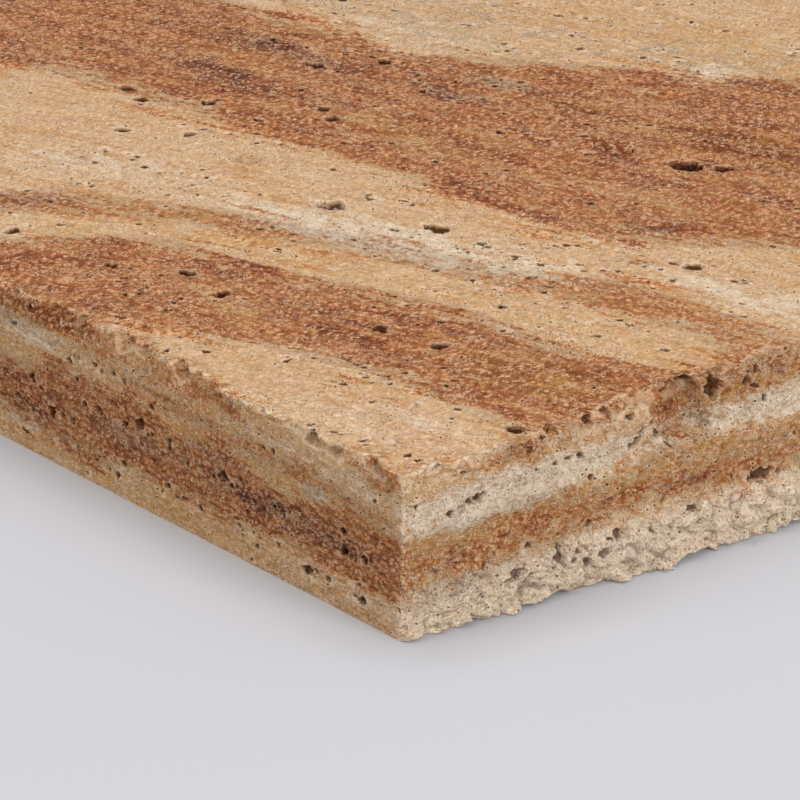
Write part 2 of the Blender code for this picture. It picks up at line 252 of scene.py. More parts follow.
@dataclass
class Skin:
    """The slab's closed skin: a ruled box whose points are moved to the stone's real surface."""

    fine: float = 0.4
    coarse: float = 0.8
    fine_reach: float = 205.0
    under_every: int = 8
    foot_reach: float = 10.0
    box: Array = field(init=False)
    points: Array = field(init=False)
    hollow: Array = field(init=False)
    faces: list = field(init=False)
    sides: Array = field(init=False)
    patches: dict = field(init=False)

    def __post_init__(self) -> None:
        """Rules the box."""
        reach = self.fine_reach
        x_far = np.linspace(-SIDE, -reach, round((SIDE - reach) / self.coarse) + 1)
        x_near = np.linspace(-reach, 0.0, round(reach / self.fine) + 1)
        xs = np.concatenate((x_far[:-1], x_near))
        ys = -xs[::-1]
        zs = np.linspace(0.0, THICKNESS, round(THICKNESS / self.fine) + 1)
        self._rule(xs, ys, zs)
        # How much painted shade, with some of the pits' own brown, each point gets in a pore, a crevice or a
        # bite of an edge, from 0 to 1; a thin ring round it gets a painted highlight
        self.hollow = np.zeros(len(self.box))

    def _rule(self, xs: Array, ys: Array, zs: Array) -> None:
        """Lays the points in rings up the sides, then the inner points of the top and underside.

        Args:
            xs: the rulings along x.
            ys: the rulings along y.
            zs: the rulings along z.
        """
        nx, ny, nz = len(xs), len(ys), len(zs)
        loop = [(i, 0) for i in range(nx - 1)]
        loop += [(nx - 1, j) for j in range(ny - 1)]
        loop += [(i, ny - 1) for i in range(nx - 1, 0, -1)]
        loop += [(0, j) for j in range(ny - 1, 0, -1)]
        loop_i, loop_j = np.array(loop).T
        ring = np.arange(nz * len(loop)).reshape(nz, len(loop))
        turn = np.full((nx, ny), -1)
        turn[loop_i, loop_j] = np.arange(len(loop))
        rings = np.stack(np.broadcast_arrays(xs[loop_i], ys[loop_j], zs[:, None]), axis=2)
        count = ring.size

        top = np.where(turn >= 0, ring[-1][turn], -1)
        top[1:-1, 1:-1] = count + np.arange((nx - 2) * (ny - 2)).reshape(nx - 2, ny - 2)
        grid_x, grid_y = np.meshgrid(xs[1:-1], ys[1:-1], indexing="ij")
        lid = np.stack((grid_x, grid_y, np.full_like(grid_x, THICKNESS)), axis=2).reshape(-1, 3)
        count += len(lid)

        keep_i = self._under_lines(-xs)
        keep_j = self._under_lines(None, ny)
        under = np.full((nx, ny), -1)
        under[loop_i, loop_j] = ring[0]
        inner = np.ix_(keep_i[1:-1], keep_j[1:-1])
        under[inner] = count + np.arange(under[inner].size).reshape(under[inner].shape)
        base_x, base_y = np.meshgrid(xs[keep_i[1:-1]], ys[keep_j[1:-1]], indexing="ij")
        base = np.stack((base_x, base_y, np.zeros_like(base_x)), axis=2).reshape(-1, 3)

        self.box = np.concatenate((rings.reshape(-1, 3), lid, base))
        after = np.roll(ring, -1, axis=1)
        wall = np.stack((ring[:-1], after[:-1], after[1:], ring[1:]), axis=2).reshape(-1, 4)
        lid_faces = np.stack((top[:-1, :-1], top[1:, :-1], top[1:, 1:], top[:-1, 1:]), axis=2)
        base_faces = list(self._under_faces(under, keep_i, keep_j))
        self.faces = [*wall.tolist(), *lid_faces.reshape(-1, 4).tolist(), *base_faces]

        order = list(Face)
        runs = np.repeat(
            [order.index(f) for f in (Face.NEAR_SAWN, Face.NEAR_SPLIT, Face.FAR_SAWN, Face.FAR_SPLIT)],
            (nx - 1, ny - 1, nx - 1, ny - 1),
        )
        self.sides = np.concatenate((
            np.tile(runs, nz - 1),
            np.full((nx - 1) * (ny - 1), order.index(Face.TOP)),
            np.full(len(base_faces), order.index(Face.UNDERSIDE)),
        ))
        full = np.concatenate((ring, ring[:, :1]), axis=1)
        a, b, c = nx - 1, nx + ny - 2, 2 * nx + ny - 3
        self.patches = {
            Face.TOP: Patch(Face.TOP, top, xs, ys),
            Face.NEAR_SAWN: Patch(Face.NEAR_SAWN, full[:, : a + 1].T, xs, zs),
            Face.NEAR_SPLIT: Patch(Face.NEAR_SPLIT, full[:, a : b + 1].T, ys, zs),
            Face.FAR_SAWN: Patch(Face.FAR_SAWN, full[:, b : c + 1].T[::-1], xs, zs),
            Face.FAR_SPLIT: Patch(Face.FAR_SPLIT, full[:, c:].T[::-1], ys, zs),
        }

    def _under_lines(self, depth: Array | None, count: int = 0) -> Array:
        """Which rulings cross the underside: few, but all of those beside a split side.

        Args:
            depth: how far in each ruling lies from the near split side, or None for the others.
            count: the number of rulings, where there is no depth.

        Returns:
            The indices of the rulings that are kept.
        """
        if depth is None:
            last = count - 1
            return np.unique(np.append(np.arange(0, last, self.under_every), last))
        every = np.arange(len(depth))
        close = (depth < self.foot_reach) | (depth > SIDE - self.foot_reach)
        return every[close | (every % self.under_every == 0)]

    def _under_faces(self, under: Array, keep_i: Array, keep_j: Array) -> Iterator[list[int]]:
        """The underside's faces, which take in every point of the foot that they reach.

        Args:
            under: the grid of points, with -1 where there is none.
            keep_i: the rulings kept along x.
            keep_j: the rulings kept along y.

        Yields:
            One face at a time, seen from below.
        """
        for i0, i1 in zip(keep_i, keep_i[1:]):
            for j0, j1 in zip(keep_j, keep_j[1:]):
                edge = (
                    *under[i0:i1, j0], *under[i1, j0:j1], *under[i1:i0:-1, j1], *under[i0, j1:j0:-1]
                )
                yield [int(p) for p in edge if p >= 0][::-1]


@dataclass(frozen=True)
class Stone:
    """The sizes of the slab's edges, ledges and relief, in mm."""

    top_arris: float = 0.30
    top_arris_wander: float = 0.7
    other_arris: float = 0.28
    chip_depth: float = 3.3
    bed_height: float = 3.8
    top_swell: float = 0.35
    # The near profiles were measured on the photo through its camera, as far as it shows them:
    # the flare to 86 mm along, the rim to 92 and the wear to 112. The rest is made up.
    near_flare: Table = ((0, 0.3), (8, 1.4), (20, 2.8), (36, 4.4), (48, 6.2), (60, 7.3), (70, 8.4),
                         (86, 9.0), (120, 7.8), (165, 5.4), (210, 7.0), (260, 4.4), (300, 4.8))
    far_flare: Table = ((0, 4.0), (45, 6.6), (95, 8.8), (140, 5.0), (190, 6.8), (245, 7.8),
                        (300, 3.2))
    near_rim: Table = ((0, 0.1), (8, -0.6), (14, 0.2), (23, 0.0), (27, 0.9), (33, -0.1), (43, 0.4),
                       (50, -1.1), (57, -0.7), (62, -1.4), (71, -1.5), (77, -0.7), (92, -0.2),
                       (125, -1.3), (160, 0.2), (205, -1.6), (240, -0.4), (300, -0.3))
    near_wear: Table = ((0, 0.0), (-7, 1.0), (-14, 1.1), (-18, 0.1), (-23, 1.0), (-29, 0.1),
                        (-46, 0.1), (-52, 1.6), (-57, 2.3), (-64, 1.8), (-74, 2.4), (-84, 1.9),
                        (-90, 2.4), (-99, 3.4), (-102, 0.8), (-112, 0.2), (-150, 0.4), (-165, 1.9),
                        (-190, 1.2), (-200, 0.2), (-255, 0.9), (-300, 0.2))
    near_hollows: tuple = ((13.5, 7, 1.1), (24.5, 6, 0.8), (31, 8, 1.0), (60, 12, 1.3),
                           (84, 7, 0.8), (118, 14, 1.3), (151, 8, 1.0), (187, 16, 1.5),
                           (229, 9, 1.0), (262, 13, 1.4))
    far_hollows: tuple = ((22, 12, 1.3), (58, 8, 1.0), (101, 15, 1.5), (149, 9, 1.0),
                          (196, 13, 1.4), (240, 8, 1.0), (277, 11, 1.2))
    surveyed_top: tuple = ((8, -8), (-112, -8), (-245, 96), (-136, 226), (8, 92))
    surveyed_sawn: float = -112.0
    surveyed_split: float = 92.0
    dents: tuple[Dent, ...] = DENTS

    def shape(self, skin: Skin) -> None:
        """Moves the skin's points from the box to the surface of the stone.

        Args:
            skin: the ruled skin.
        """
        skin.points = self.round_arrises(skin.box)
        self.shape_sawn_sides(skin)
        self.shape_split_sides(skin)
        self.swell_top(skin)
        self.lift_foot(skin)

    def round_arrises(self, box: Array) -> Array:
        """Wears every edge of the box to a radius that wanders along it.

        Args:
            box: the points of the ruled box.

        Returns:
            The worn points.
        """
        low = np.array((-SIDE, 0.0, 0.0))
        high = np.array((0.0, SIDE, THICKNESS))
        close = np.sort(np.minimum(box - low, high - box), axis=1)[:, 1] < 2.0
        place = box[close]
        wander = waves(place, 14, 3) + 0.7 * waves(place, (4, 4, 6), 8)
        wander += 0.6 * waves(place, (1.7, 1.7, 3), 9)
        top_radius = self.top_arris + self.top_arris_wander * np.clip(wander, -0.3, 1.2)
        is_low = smoothstep(THICKNESS - 2, THICKNESS - 5, place[:, 2])
        radius = (top_radius * (1 - is_low) + self.other_arris * is_low)[:, None]
        inner_low = low + radius
        # The ground edges stay at the foot, so the flat underside keeps its full size
        inner_low[:, 2] = np.minimum(inner_low[:, 2], place[:, 2])
        inner = np.clip(place, inner_low, high - radius)
        reach = place - inner
        length = np.linalg.norm(reach, axis=1, keepdims=True)
        worn = inner + reach * radius / np.maximum(length, 1e-9)
        points = box.copy()
        points[close] = np.where(length > radius, worn, place)
        return points

    def split_relief(self, along: Array, up: Array, flare: Table, rim: Table, seed: float) -> Array:
        """How far a split side stands out past its nominal plane.

        Args:
            along: the place along the side.
            up: the height above the ground.
            flare: how far the foot stands out, along the side.
            rim: how far the top edge stands out, along the side.
            seed: picks the side's own relief.

        Returns:
            The reach past the plane at each place, in mm.
        """
        place = np.stack((along, up, np.zeros_like(up)), axis=1)
        height = np.clip(up / THICKNESS, 0.0, 1.0)
        slant = along_table(flare, along) * (1.0 - height) + along_table(rim, along) * height ** 3
        bed = (up + 1.4 * waves(place, (34, 60, 1), seed)) / self.bed_height
        which = np.floor(bed)
        lower = waves(np.stack((along / 21, which * 3.1, which), axis=1), 1, seed + 4)
        upper = waves(np.stack((along / 21, (which + 1) * 3.1, which + 1), axis=1), 1, seed + 4)
        ledges = lower + (upper - lower) * smoothstep(0.66, 1.0, bed - which)
        lumps = waves(place, (13, 9, 1), seed + 11) + 0.45 * waves(place, (5, 3.6, 1), seed + 17)
        foot = 1.0 - smoothstep(6, 11, up)
        from_ends = np.minimum(along, SIDE - along)
        inner = 0.12 + 0.88 * smoothstep(0, 9, from_ends)
        return slant + inner * (0.95 * ledges + (0.75 + 0.6 * foot) * lumps)

    def chips(self, place: Array, away: Array, seed: float) -> Array:
        """Small bites along an edge.

        Args:
            place: points near the edge.
            away: how far each point lies from the edge, in mm.
            seed: picks the edge's own bites.

        Returns:
            How deep the bites are at each point, in mm.
        """
        small = np.clip(waves(place, (1.7, 1.7, 2.4), seed) - 0.08, 0.0, None)
        large = np.clip(waves(place, (5.0, 5.0, 6.0), seed + 3) - 0.22, 0.0, None)
        return self.chip_depth * (small * smoothstep(1.6, 0.0, away) + 2 * large * smoothstep(4, 0, away))

    def shape_split_sides(self, skin: Skin) -> None:
        """Pushes both split sides in and out, and roughens them with grit.

        Args:
            skin: the skin to shape.
        """
        far_rim = [(y + 3, -0.8 * r) for y, r in self.near_rim]
        for start, out, flare, rim, seed in (
            (0.0, 1, self.near_flare, self.near_rim, 21),
            (-SIDE, -1, self.far_flare, far_rim, 57),
        ):
            depth = np.abs(skin.box[:, 0] - start)
            near = np.flatnonzero(depth < SPREAD)
            along, up, away = skin.box[near, 1], skin.box[near, 2], depth[near]
            relief = self.split_relief(along, up, flare, rim, seed)
            skin.points[near, 0] += out * relief * (1.0 - smoothstep(0, SPREAD, away))
            face = near[away < 1e-6]
            place = skin.box[face]
            foot = 1.0 - smoothstep(6, 11, place[:, 2])
            large = np.abs(waves(place, (4.6, 4.6, 3.0), seed + 23))
            small = np.abs(waves(place, (2.1, 2.1, 1.5), seed + 27))
            crags = 3.2 * (large - 0.2) + 1.7 * (small - 0.2)
            crags += 0.2 * waves(place, (1.1, 1.1, 0.8), seed + 29)
            rough = 0.36 + 0.80 * foot + 0.3 * smoothstep(23, 28, place[:, 2])
            crags *= rough
            chips = self.chips(place, THICKNESS - place[:, 2], seed + 33)
            crags -= chips
            # Painted shade goes into the crevices, only where the stone is craggy, and into the deeper bites
            # along the top edge
            crevice = np.maximum(smoothstep(0.10, 0.0, large), 0.8 * smoothstep(0.10, 0.0, small))
            dark = 0.5 * notched(chips, THICKNESS - place[:, 2])
            skin.hollow[face] = np.maximum(0.62 * crevice * smoothstep(0.5, 1.1, rough), dark)
            skin.points[face, 0] += out * crags

    def shape_sawn_sides(self, skin: Skin) -> None:
        """Wears the sawn sides in along their top edges and leaves the rest nearly flat.

        Args:
            skin: the skin to shape.
        """
        far_wear = [(-SIDE - x, 0.8 * w) for x, w in self.near_wear]
        for start, inward, wear in ((0.0, 1, self.near_wear), (SIDE, -1, far_wear)):
            depth = np.abs(skin.box[:, 1] - start)
            near = np.flatnonzero(depth < SPREAD)
            place, away = skin.box[near], depth[near]
            worn = along_table(wear, place[:, 0])
            worn *= smoothstep(THICKNESS - 6.5, THICKNESS, place[:, 2])
            worn *= 1.0 + 0.3 * waves(place, 5, 31)
            chips = self.chips(place, THICKNESS - place[:, 2], 32)
            worn += chips
            saw_marks = 0.12 * (1.0 + waves(place, (30, 30, 7), 35))
            skin.points[near, 1] += inward * (worn + saw_marks) * (1.0 - smoothstep(0, SPREAD, away))
            # Painted shade in the deeper bites along the top edge
            skin.hollow[near] = 0.5 * notched(chips, THICKNESS - place[:, 2]) * (away < 1.0)
            face = near[away < 1e-6]
            place = skin.box[face]
            streaks = 0.16 * waves(place, (7, 7, 1.3), 37) + 0.14 * waves(place, (1.8, 1.8, 0.9), 39)
            skin.points[face, 1] += inward * (0.08 + streaks)

    def swell_top(self, skin: Skin) -> None:
        """Lets the brushed top dip by tenths of a millimetre, with the softer bands lower.

        Args:
            skin: the skin to shape.
        """
        high = np.flatnonzero(skin.box[:, 2] > THICKNESS - 4)
        place = skin.box[high]
        swell = 0.6 * waves(place, (70, 26, 200), 41) + 0.4 * waves(place, (24, 11, 200), 44)
        edge = smoothstep(THICKNESS - 4, THICKNESS, place[:, 2])
        skin.points[high, 2] -= self.top_swell * (0.5 + swell.clip(-0.5, 1.0)) * edge
        face = skin.patches[Face.TOP].index.ravel()
        place = skin.box[face]
        brushed = 0.16 * waves(place, (4.4, 2.6, 9), 46) + 0.12 * waves(place, (1.9, 1.3, 9), 49)
        skin.points[face, 2] += brushed - 0.10

    def lift_foot(self, skin: Skin) -> None:
        """Hollows the foot of each split side, so that it touches the ground only in places.

        Args:
            skin: the skin to shape.
        """
        for start, hollows, seed in ((0.0, self.near_hollows, 61), (-SIDE, self.far_hollows, 67)):
            depth = np.abs(skin.box[:, 0] - start)
            near = np.flatnonzero((depth < 9) & (skin.box[:, 2] < 9))
            place = skin.box[near]
            lift = 0.15 + 0.4 * waves(place, (200, 7, 200), seed)
            for middle, length, height in hollows:
                across = (place[:, 1] - middle) / (0.5 * length)
                hollow = height * (1.0 - smoothstep(0.35, 1.0, np.abs(across)))
                lift = np.maximum(lift, hollow)
            from_ends = np.minimum(place[:, 1], SIDE - place[:, 1])
            fade = (1.0 - smoothstep(1.5, 8, depth[near])) * (1.0 - smoothstep(1, 9, place[:, 2]))
            skin.points[near, 2] += lift.clip(0.0) * fade * smoothstep(1, 7, from_ends)


# Small pores of the top that show one by one: x, y and size
TOP_PORES = (
    (-72, 80, 2.0), (-70, 80, 2.0), (-88, 72.5, 2.0), (-48, 75, 2.0), (-12, 71, 2.0),
    (-25, 66, 1.6), (-46, 62.5, 2.0), (-83, 15, 2.0), (-107, 21.5, 2.5), (-130, 27, 2.0),
    (-143, 44, 1.6), (-130, 52, 1.6), (-75, 110, 2.0), (-108, 139, 1.6), (-132, 133, 1.6),
    (-143, 127, 2.0), (-149, 129, 1.6), (-115, 123, 2.0), (-156, 159.5, 2.0), (-143, 169, 2.0),
    (-36, 120, 1.6), (-62, 107, 1.6), (-166, 92.5, 1.8), (-151, 91, 1.8), (-120, 84.5, 1.6),
    (-103, 79.5, 1.6), (-57, 116, 1.5), (-100, 148, 1.8), (-86, 150, 1.8), (-54, 136, 1.5),
    (-97, 133, 1.8), (-94.5, 134.5, 1.6), (-92, 133, 2.0), (-90.5, 134.8, 1.5), (-96, 131.8, 1.5),
)
# Small pores of the near sides: place along, height and size
SAWN_PORES = (
    (-75.5, 14.5, 1.6), (-62.5, 14.3, 1.2), (-53, 13, 1.2), (-31.5, 12.4, 1.4), (-91, 10, 1.4),
    (-78, 3.8, 1.4), (-64.8, 5.2, 0.9), (-60.5, 5.5, 1.2), (-58, 5.8, 0.9), (-54, 5.5, 1.4),
    (-19, 4.5, 1.4), (-94, 10.4, 1.3), (-67.5, 15.2, 0.9), (-80.3, 4.0, 1.0), (-108, 23.5, 1.6),
    (-84, 23, 1.1), (-82, 22.4, 1.2), (-90, 22.8, 0.9), (-33.5, 12.9, 0.9), (-45.3, 12.7, 1.1),
    (-13.2, 10.7, 0.9), (-8.2, 11.9, 0.9), (-50.2, 12.8, 1.0), (-22, 4.9, 1.3), (-1, 5.5, 1.2),
)
SPLIT_PORES = (
    (3, 23.8, 0.9), (36, 23.5, 1.2), (40.9, 18.8, 1.4), (71.3, 24.1, 1.1), (80.1, 24.5, 1.2),
    (15.8, 10.1, 1.3), (25.6, 10.9, 1.2), (10.5, 20.6, 1.5), (12.4, 21.0, 1.4), (14.4, 21.5, 1.3),
    (38.5, 23.4, 1.2), (43.2, 7.2, 1.0), (52, 22.0, 1.7), (53.5, 23.3, 1.5), (56.6, 22.2, 1.8),
    (50.5, 21.3, 1.4), (55.2, 24.6, 1.4), (75, 10.1, 1.6), (77.3, 10.5, 1.7), (79.6, 10.3, 1.6),
    (62, 5.2, 0.9), (29, 23.2, 0.8), (33, 23.3, 0.9), (18.5, 11.2, 0.9), (27, 5.4, 1.4),
)


@dataclass
class Pitting:
    """The pores and pockets of the stone, from the largest to those a millimetre across."""

    stone: Stone
    dent_seed: int = 16
    pore_seed: int = 27
    open_wider: float = 1.25
    top_dents: int = 46
    side_dent_gap: float = 17.0
    side_dent_share: float = 0.66
    clear_of_edge: float = 12.0
    top_pores: int = 1500
    side_pores: int = 130
    pore_sizes: tuple[float, float] = (0.7, 1.5)

    def press_all(self, skin: Skin) -> None:
        """Sinks every dent and pore into the skin.

        Args:
            skin: the shaped skin.
        """
        for dent in (*self.stone.dents, *self.scattered_dents()):
            # Brushing has opened the pores of the top
            wider = self.open_wider if dent.face is Face.TOP else 1.0
            self.press(skin, replace(dent, width=dent.width * wider))
        for dent in (*self.placed_pores(), *self.scattered_pores()):
            self.press(skin, dent)

    def press(self, skin: Skin, dent: Dent) -> None:
        """Sinks one pore or pocket into its face, with a ragged rim and steep walls, and marks how much
        painted shade it gets.

        Args:
            skin: the shaped skin.
            dent: the pore.
        """
        u, v, flat, inward = dent.face.value
        near = skin.patches[dent.face].block(dent.along, dent.across, max(dent.length, dent.width))
        if not len(near):
            return
        place = skin.box[near]
        du, dv = place[:, u] - dent.along, place[:, v] - dent.across
        along, across = in_oval(du, dv, dent.length, dent.width, dent.turn)
        lobes = 0.62 * waves(place, max(0.5 * dent.width, 0.9), 71)
        lobes += 0.34 * waves(place, max(0.22 * dent.width, 0.6), 73)
        inside = 1.0 - smoothstep(dent.wall, 1.05, np.hypot(along, across) + lobes)
        uneven = 1.0 + 0.5 * waves(place, max(0.4 * dent.width, 0.9), 75)
        skin.points[near, flat] += inward * dent.depth * inside * uneven
        # Steep pores and pockets get painted shade inside; broad shallow chips get none and stay as light as
        # the face round them
        steep = dent.depth / min(dent.length, dent.width)
        dark = 0.0 if steep < 0.3 else min(1.0, 0.5 + (steep - 0.3) / 0.4)
        skin.hollow[near] = np.maximum(skin.hollow[near], inside * dark)

    def surveyed(self, x: float, y: float) -> bool:
        """Whether a place on the top lies in the part whose dents are all listed."""
        corners = self.stone.surveyed_top
        pairs = zip(corners, corners[1:] + corners[:1])
        return all((bx - ax) * (y - ay) - (by - ay) * (x - ax) <= 0 for (ax, ay), (bx, by) in pairs)

    def scattered_dents(self) -> list[Dent]:
        """The larger dents of the rest of the slab, which are smaller on its sides than on its top."""
        rng = random.Random(self.dent_seed)
        dents: list[Dent] = []

        def add(face: Face, along: float, across: float) -> None:
            """Adds one dent of a random size at a place."""
            length = rng.uniform(3.2, 8.0) if rng.random() < 0.3 else rng.uniform(3.0, 4.4)
            length *= 1.0 if face is Face.TOP else self.side_dent_share
            width = length * rng.uniform(0.5, 0.95)
            turn = rng.uniform(-5, 35)
            dents.append(Dent(face, along, across, length, width, 0.45 * width, turn))

        clear = self.clear_of_edge
        while len(dents) < self.top_dents:
            x, y = rng.uniform(clear - SIDE, -clear), rng.uniform(clear, SIDE - clear)
            if not self.surveyed(x, y):
                add(Face.TOP, x, y)
        for face in (Face.NEAR_SAWN, Face.FAR_SAWN, Face.NEAR_SPLIT, Face.FAR_SPLIT):
            for along in np.arange(14, SIDE - 8, self.side_dent_gap):
                place = along + rng.uniform(-6, 6)
                up = rng.choice((rng.uniform(3.5, 7), rng.uniform(10, 16), rng.uniform(19, 24)))
                if face is Face.NEAR_SAWN and -place > self.stone.surveyed_sawn:
                    continue
                if face is Face.NEAR_SPLIT and place < self.stone.surveyed_split:
                    continue
                add(face, -place if face.sawn else place, up)
        return dents

    def placed_pores(self) -> Iterator[Dent]:
        """The listed small pores, rounder and deeper for their size than the dents."""
        for face, pores in (
            (Face.TOP, TOP_PORES), (Face.NEAR_SAWN, SAWN_PORES), (Face.NEAR_SPLIT, SPLIT_PORES),
        ):
            for along, across, size in pores:
                yield Dent(face, along, across, size * 1.15, size * 0.9, 0.75 * size, 15)

    def scattered_pores(self) -> Iterator[Dent]:
        """Fine pores all over, crowded along some layers and missing from others."""
        rng = random.Random(self.pore_seed)
        low, high = self.pore_sizes

        def pore(face: Face, along: float, across: float) -> Dent:
            """One fine pore of a random size."""
            size = low + (high - low) * rng.random() ** 2.2
            return Dent(face, along, across, size * rng.uniform(1.0, 1.6), size, 0.8 * size,
                        rng.uniform(0, 30))

        made = 0
        while made < self.top_pores:
            x, y = rng.uniform(2 - SIDE, -2), rng.uniform(2, SIDE - 2)
            crowd = noise.noise(Vector(((x * 0.95 + y * 0.3) / 40, (y * 0.95 - x * 0.3) / 7, 5.5)))
            if rng.random() < 0.25 + 1.6 * crowd:
                made += 1
                yield pore(Face.TOP, x, y)
        lines = {Face.NEAR_SAWN: (13.5, 5.0, 23.0), Face.FAR_SAWN: (12.5, 5.5, 22.0),
                 Face.NEAR_SPLIT: (22.3, 9.5, 5.5), Face.FAR_SPLIT: (21.0, 9.0, 5.0)}
        for face, heights in lines.items():
            for _ in range(self.side_pores):
                along = rng.uniform(1.5, SIDE - 1.5)
                up = rng.gauss(rng.choice(heights), 1.1) if rng.random() < 0.6 else rng.uniform(1, 29)
                if 0.8 < up < 29.2:
                    yield pore(face, -along if face.sawn else along, up)


class Tint(Enum):
    """What a layer or a stain of the stone is coloured by."""

    OCHRE = "ochre"
    MAUVE = "mauve"
    PALE = "pale"
    GREY = "grey"
    IRON = "iron"


@dataclass(frozen=True)
class Layer:
    """A band of iron-stained stone between two edges given by points, and how strong its colour is."""

    low: Table
    high: Table
    strength: float


@dataclass(frozen=True)
class Stain:
    """A soft patch of one tint, by its middle, its size, its turn in degrees and its amount."""

    tint: Tint
    along: float
    across: float
    length: float
    width: float
    amount: float
    turn: float = 15.0


FOREVER = ((-400, 60), (400, 60))

TOP_LAYERS = (
    Layer(
        ((0, 27), (-25, 27), (-40, 25), (-60, 18), (-80, 8), (-92, 1), (-100, -6), (-300, -40)),
        ((0, 65), (-20, 58), (-50, 56), (-70, 49), (-90, 41), (-110, 37), (-120, 28), (-128, 18),
         (-138, 4), (-145, -6), (-300, -40)),
        0.86,
    ),
    Layer(
        ((0, 75), (-12, 80), (-25, 78), (-40, 75), (-50, 71), (-60, 67), (-80, 61), (-100, 52),
         (-112, 47), (-122, 42), (-135, 30), (-150, 14), (-160, 2), (-170, -8), (-300, -60)),
        ((0, 91), (-15, 90), (-28, 88), (-40, 87), (-50, 80), (-60, 73), (-72, 71), (-85, 67),
         (-100, 60), (-112, 56), (-120, 51), (-130, 46), (-142, 38), (-155, 24), (-168, 10),
         (-180, -6), (-300, -60)),
        0.62,
    ),
    Layer(
        ((0, 142), (-25, 130), (-40, 115), (-50, 105), (-60, 100), (-75, 97), (-100, 93),
         (-120, 92), (-140, 88), (-165, 85), (-200, 78), (-240, 66), (-300, 52)),
        ((0, 196), (-40, 182), (-70, 200), (-90, 200), (-100, 190), (-110, 175), (-130, 165),
         (-150, 150), (-165, 138), (-200, 135), (-240, 128), (-300, 118)),
        0.86,
    ),
    Layer(
        ((0, 262), (-50, 250), (-100, 238), (-150, 226), (-200, 219), (-250, 208), (-300, 196)),
        ((0, 292), (-50, 271), (-100, 264), (-150, 243), (-200, 240), (-250, 236), (-300, 214)),
        0.80,
    ),
    Layer(
        ((0, 300), (-60, 284), (-120, 279), (-180, 262), (-240, 256), (-300, 240)),
        ((0, 304), (-60, 294), (-120, 284), (-180, 270), (-240, 262), (-300, 250)),
        0.55,
    ),
    Layer(
        ((-200, -6), (-230, 2), (-262, 6), (-300, 12)),
        ((-200, -6), (-230, 10), (-262, 24), (-300, 38)),
        0.70,
    ),
)
TOP_STAINS = (
    Stain(Tint.OCHRE, -40, 64, 80, 12, 0.55),
    Stain(Tint.OCHRE, -100, 46, 60, 9, 0.45, 20),
    Stain(Tint.OCHRE, -10, 66, 26, 9, 0.6),
    Stain(Tint.OCHRE, -127, 27, 14, 6, 0.7, 30),
    Stain(Tint.OCHRE, -16, 45, 44, 22, 0.75),
    Stain(Tint.OCHRE, -4, 28, 8, 4, 0.8),
    Stain(Tint.OCHRE, -110, 144, 50, 10, 0.55, 5),
    Stain(Tint.OCHRE, -78, 154, 44, 18, 0.85, 5),
    Stain(Tint.OCHRE, -125, 190, 90, 44, 0.45, 20),
    Stain(Tint.GREY, -180, 158, 90, 40, 0.42, 10),
    Stain(Tint.GREY, -120, 185, 70, 30, 0.35, 20),
    Stain(Tint.OCHRE, -35, 118, 34, 16, 0.4),
    Stain(Tint.OCHRE, -83, 79, 8, 4, 0.9, 5),
    Stain(Tint.OCHRE, -128, 108, 50, 16, 0.4, 8),
    Stain(Tint.OCHRE, -190, 118, 40, 10, 0.5, 5),
    Stain(Tint.IRON, -128, 106, 44, 14, -0.26, 8),
    Stain(Tint.IRON, -75, 118, 46, 12, -0.14, 8),
    Stain(Tint.IRON, -78, 155, 34, 12, 0.05, 5),
    Stain(Tint.IRON, -92, 96.5, 16, 4, 0.45, 4),
    Stain(Tint.IRON, -46, 95, 8, 4, 0.35, 10),
    Stain(Tint.IRON, -33, 86, 9, 4, 0.25, 10),
    Stain(Tint.IRON, -20, 45, 40, 20, -0.12, 8),
    Stain(Tint.IRON, -58, 36, 30, 16, 0.06, 8),
    Stain(Tint.IRON, -96, 180, 22, 20, 0.10, 10),
    Stain(Tint.IRON, -88, 22, 44, 16, -0.08, 12),
    Stain(Tint.MAUVE, -180, 123, 50, 7, 0.9, 4),
    Stain(Tint.MAUVE, -140, 130, 30, 8, 0.8, 10),
    Stain(Tint.MAUVE, -180, 102, 44, 16, 0.5, 6),
    Stain(Tint.MAUVE, -144, 32, 20, 12, 0.6, 45),
    Stain(Tint.MAUVE, -40, 50, 50, 8, 0.35, 6),
    Stain(Tint.MAUVE, -64, 33, 40, 14, 0.3, 10),
    Stain(Tint.MAUVE, -57, 109, 12, 6, 0.7, 15),
    Stain(Tint.GREY, -138, 142, 22, 9, 0.8, 15),
    Stain(Tint.GREY, -57, 108, 11, 6, 0.6, 20),
    Stain(Tint.GREY, -91, 9, 12, 5, 0.5, 20),
    Stain(Tint.GREY, -95, 30, 6, 5, 0.7),
    Stain(Tint.GREY, -112, 110, 6, 4, 0.5),
    Stain(Tint.GREY, -108, 130, 6, 4, 0.5),
    Stain(Tint.GREY, -158, 49, 12, 6, 0.4, 20),
    Stain(Tint.PALE, -85, 68, 90, 18, 0.75, 17),
    Stain(Tint.PALE, -105, 66, 20, 12, 0.6, 30),
    Stain(Tint.PALE, -68, 77, 24, 14, 0.5, 15),
    Stain(Tint.PALE, -20, 99, 60, 12, 0.45, 10),
    Stain(Tint.PALE, -150, 52, 50, 22, 0.35, 25),
    Stain(Tint.PALE, -20, 12, 60, 20, 0.25, 10),
    Stain(Tint.PALE, -115, 180, 20, 20, 0.4, 30),
    Stain(Tint.PALE, -175, 150, 50, 20, 0.2, 15),
    Stain(Tint.PALE, -270, 90, 60, 26, 0.4, 20),
    Stain(Tint.PALE, -60, 235, 90, 18, 0.4, 15),
    Stain(Tint.MAUVE, -230, 225, 60, 10, 0.6, 10),
)

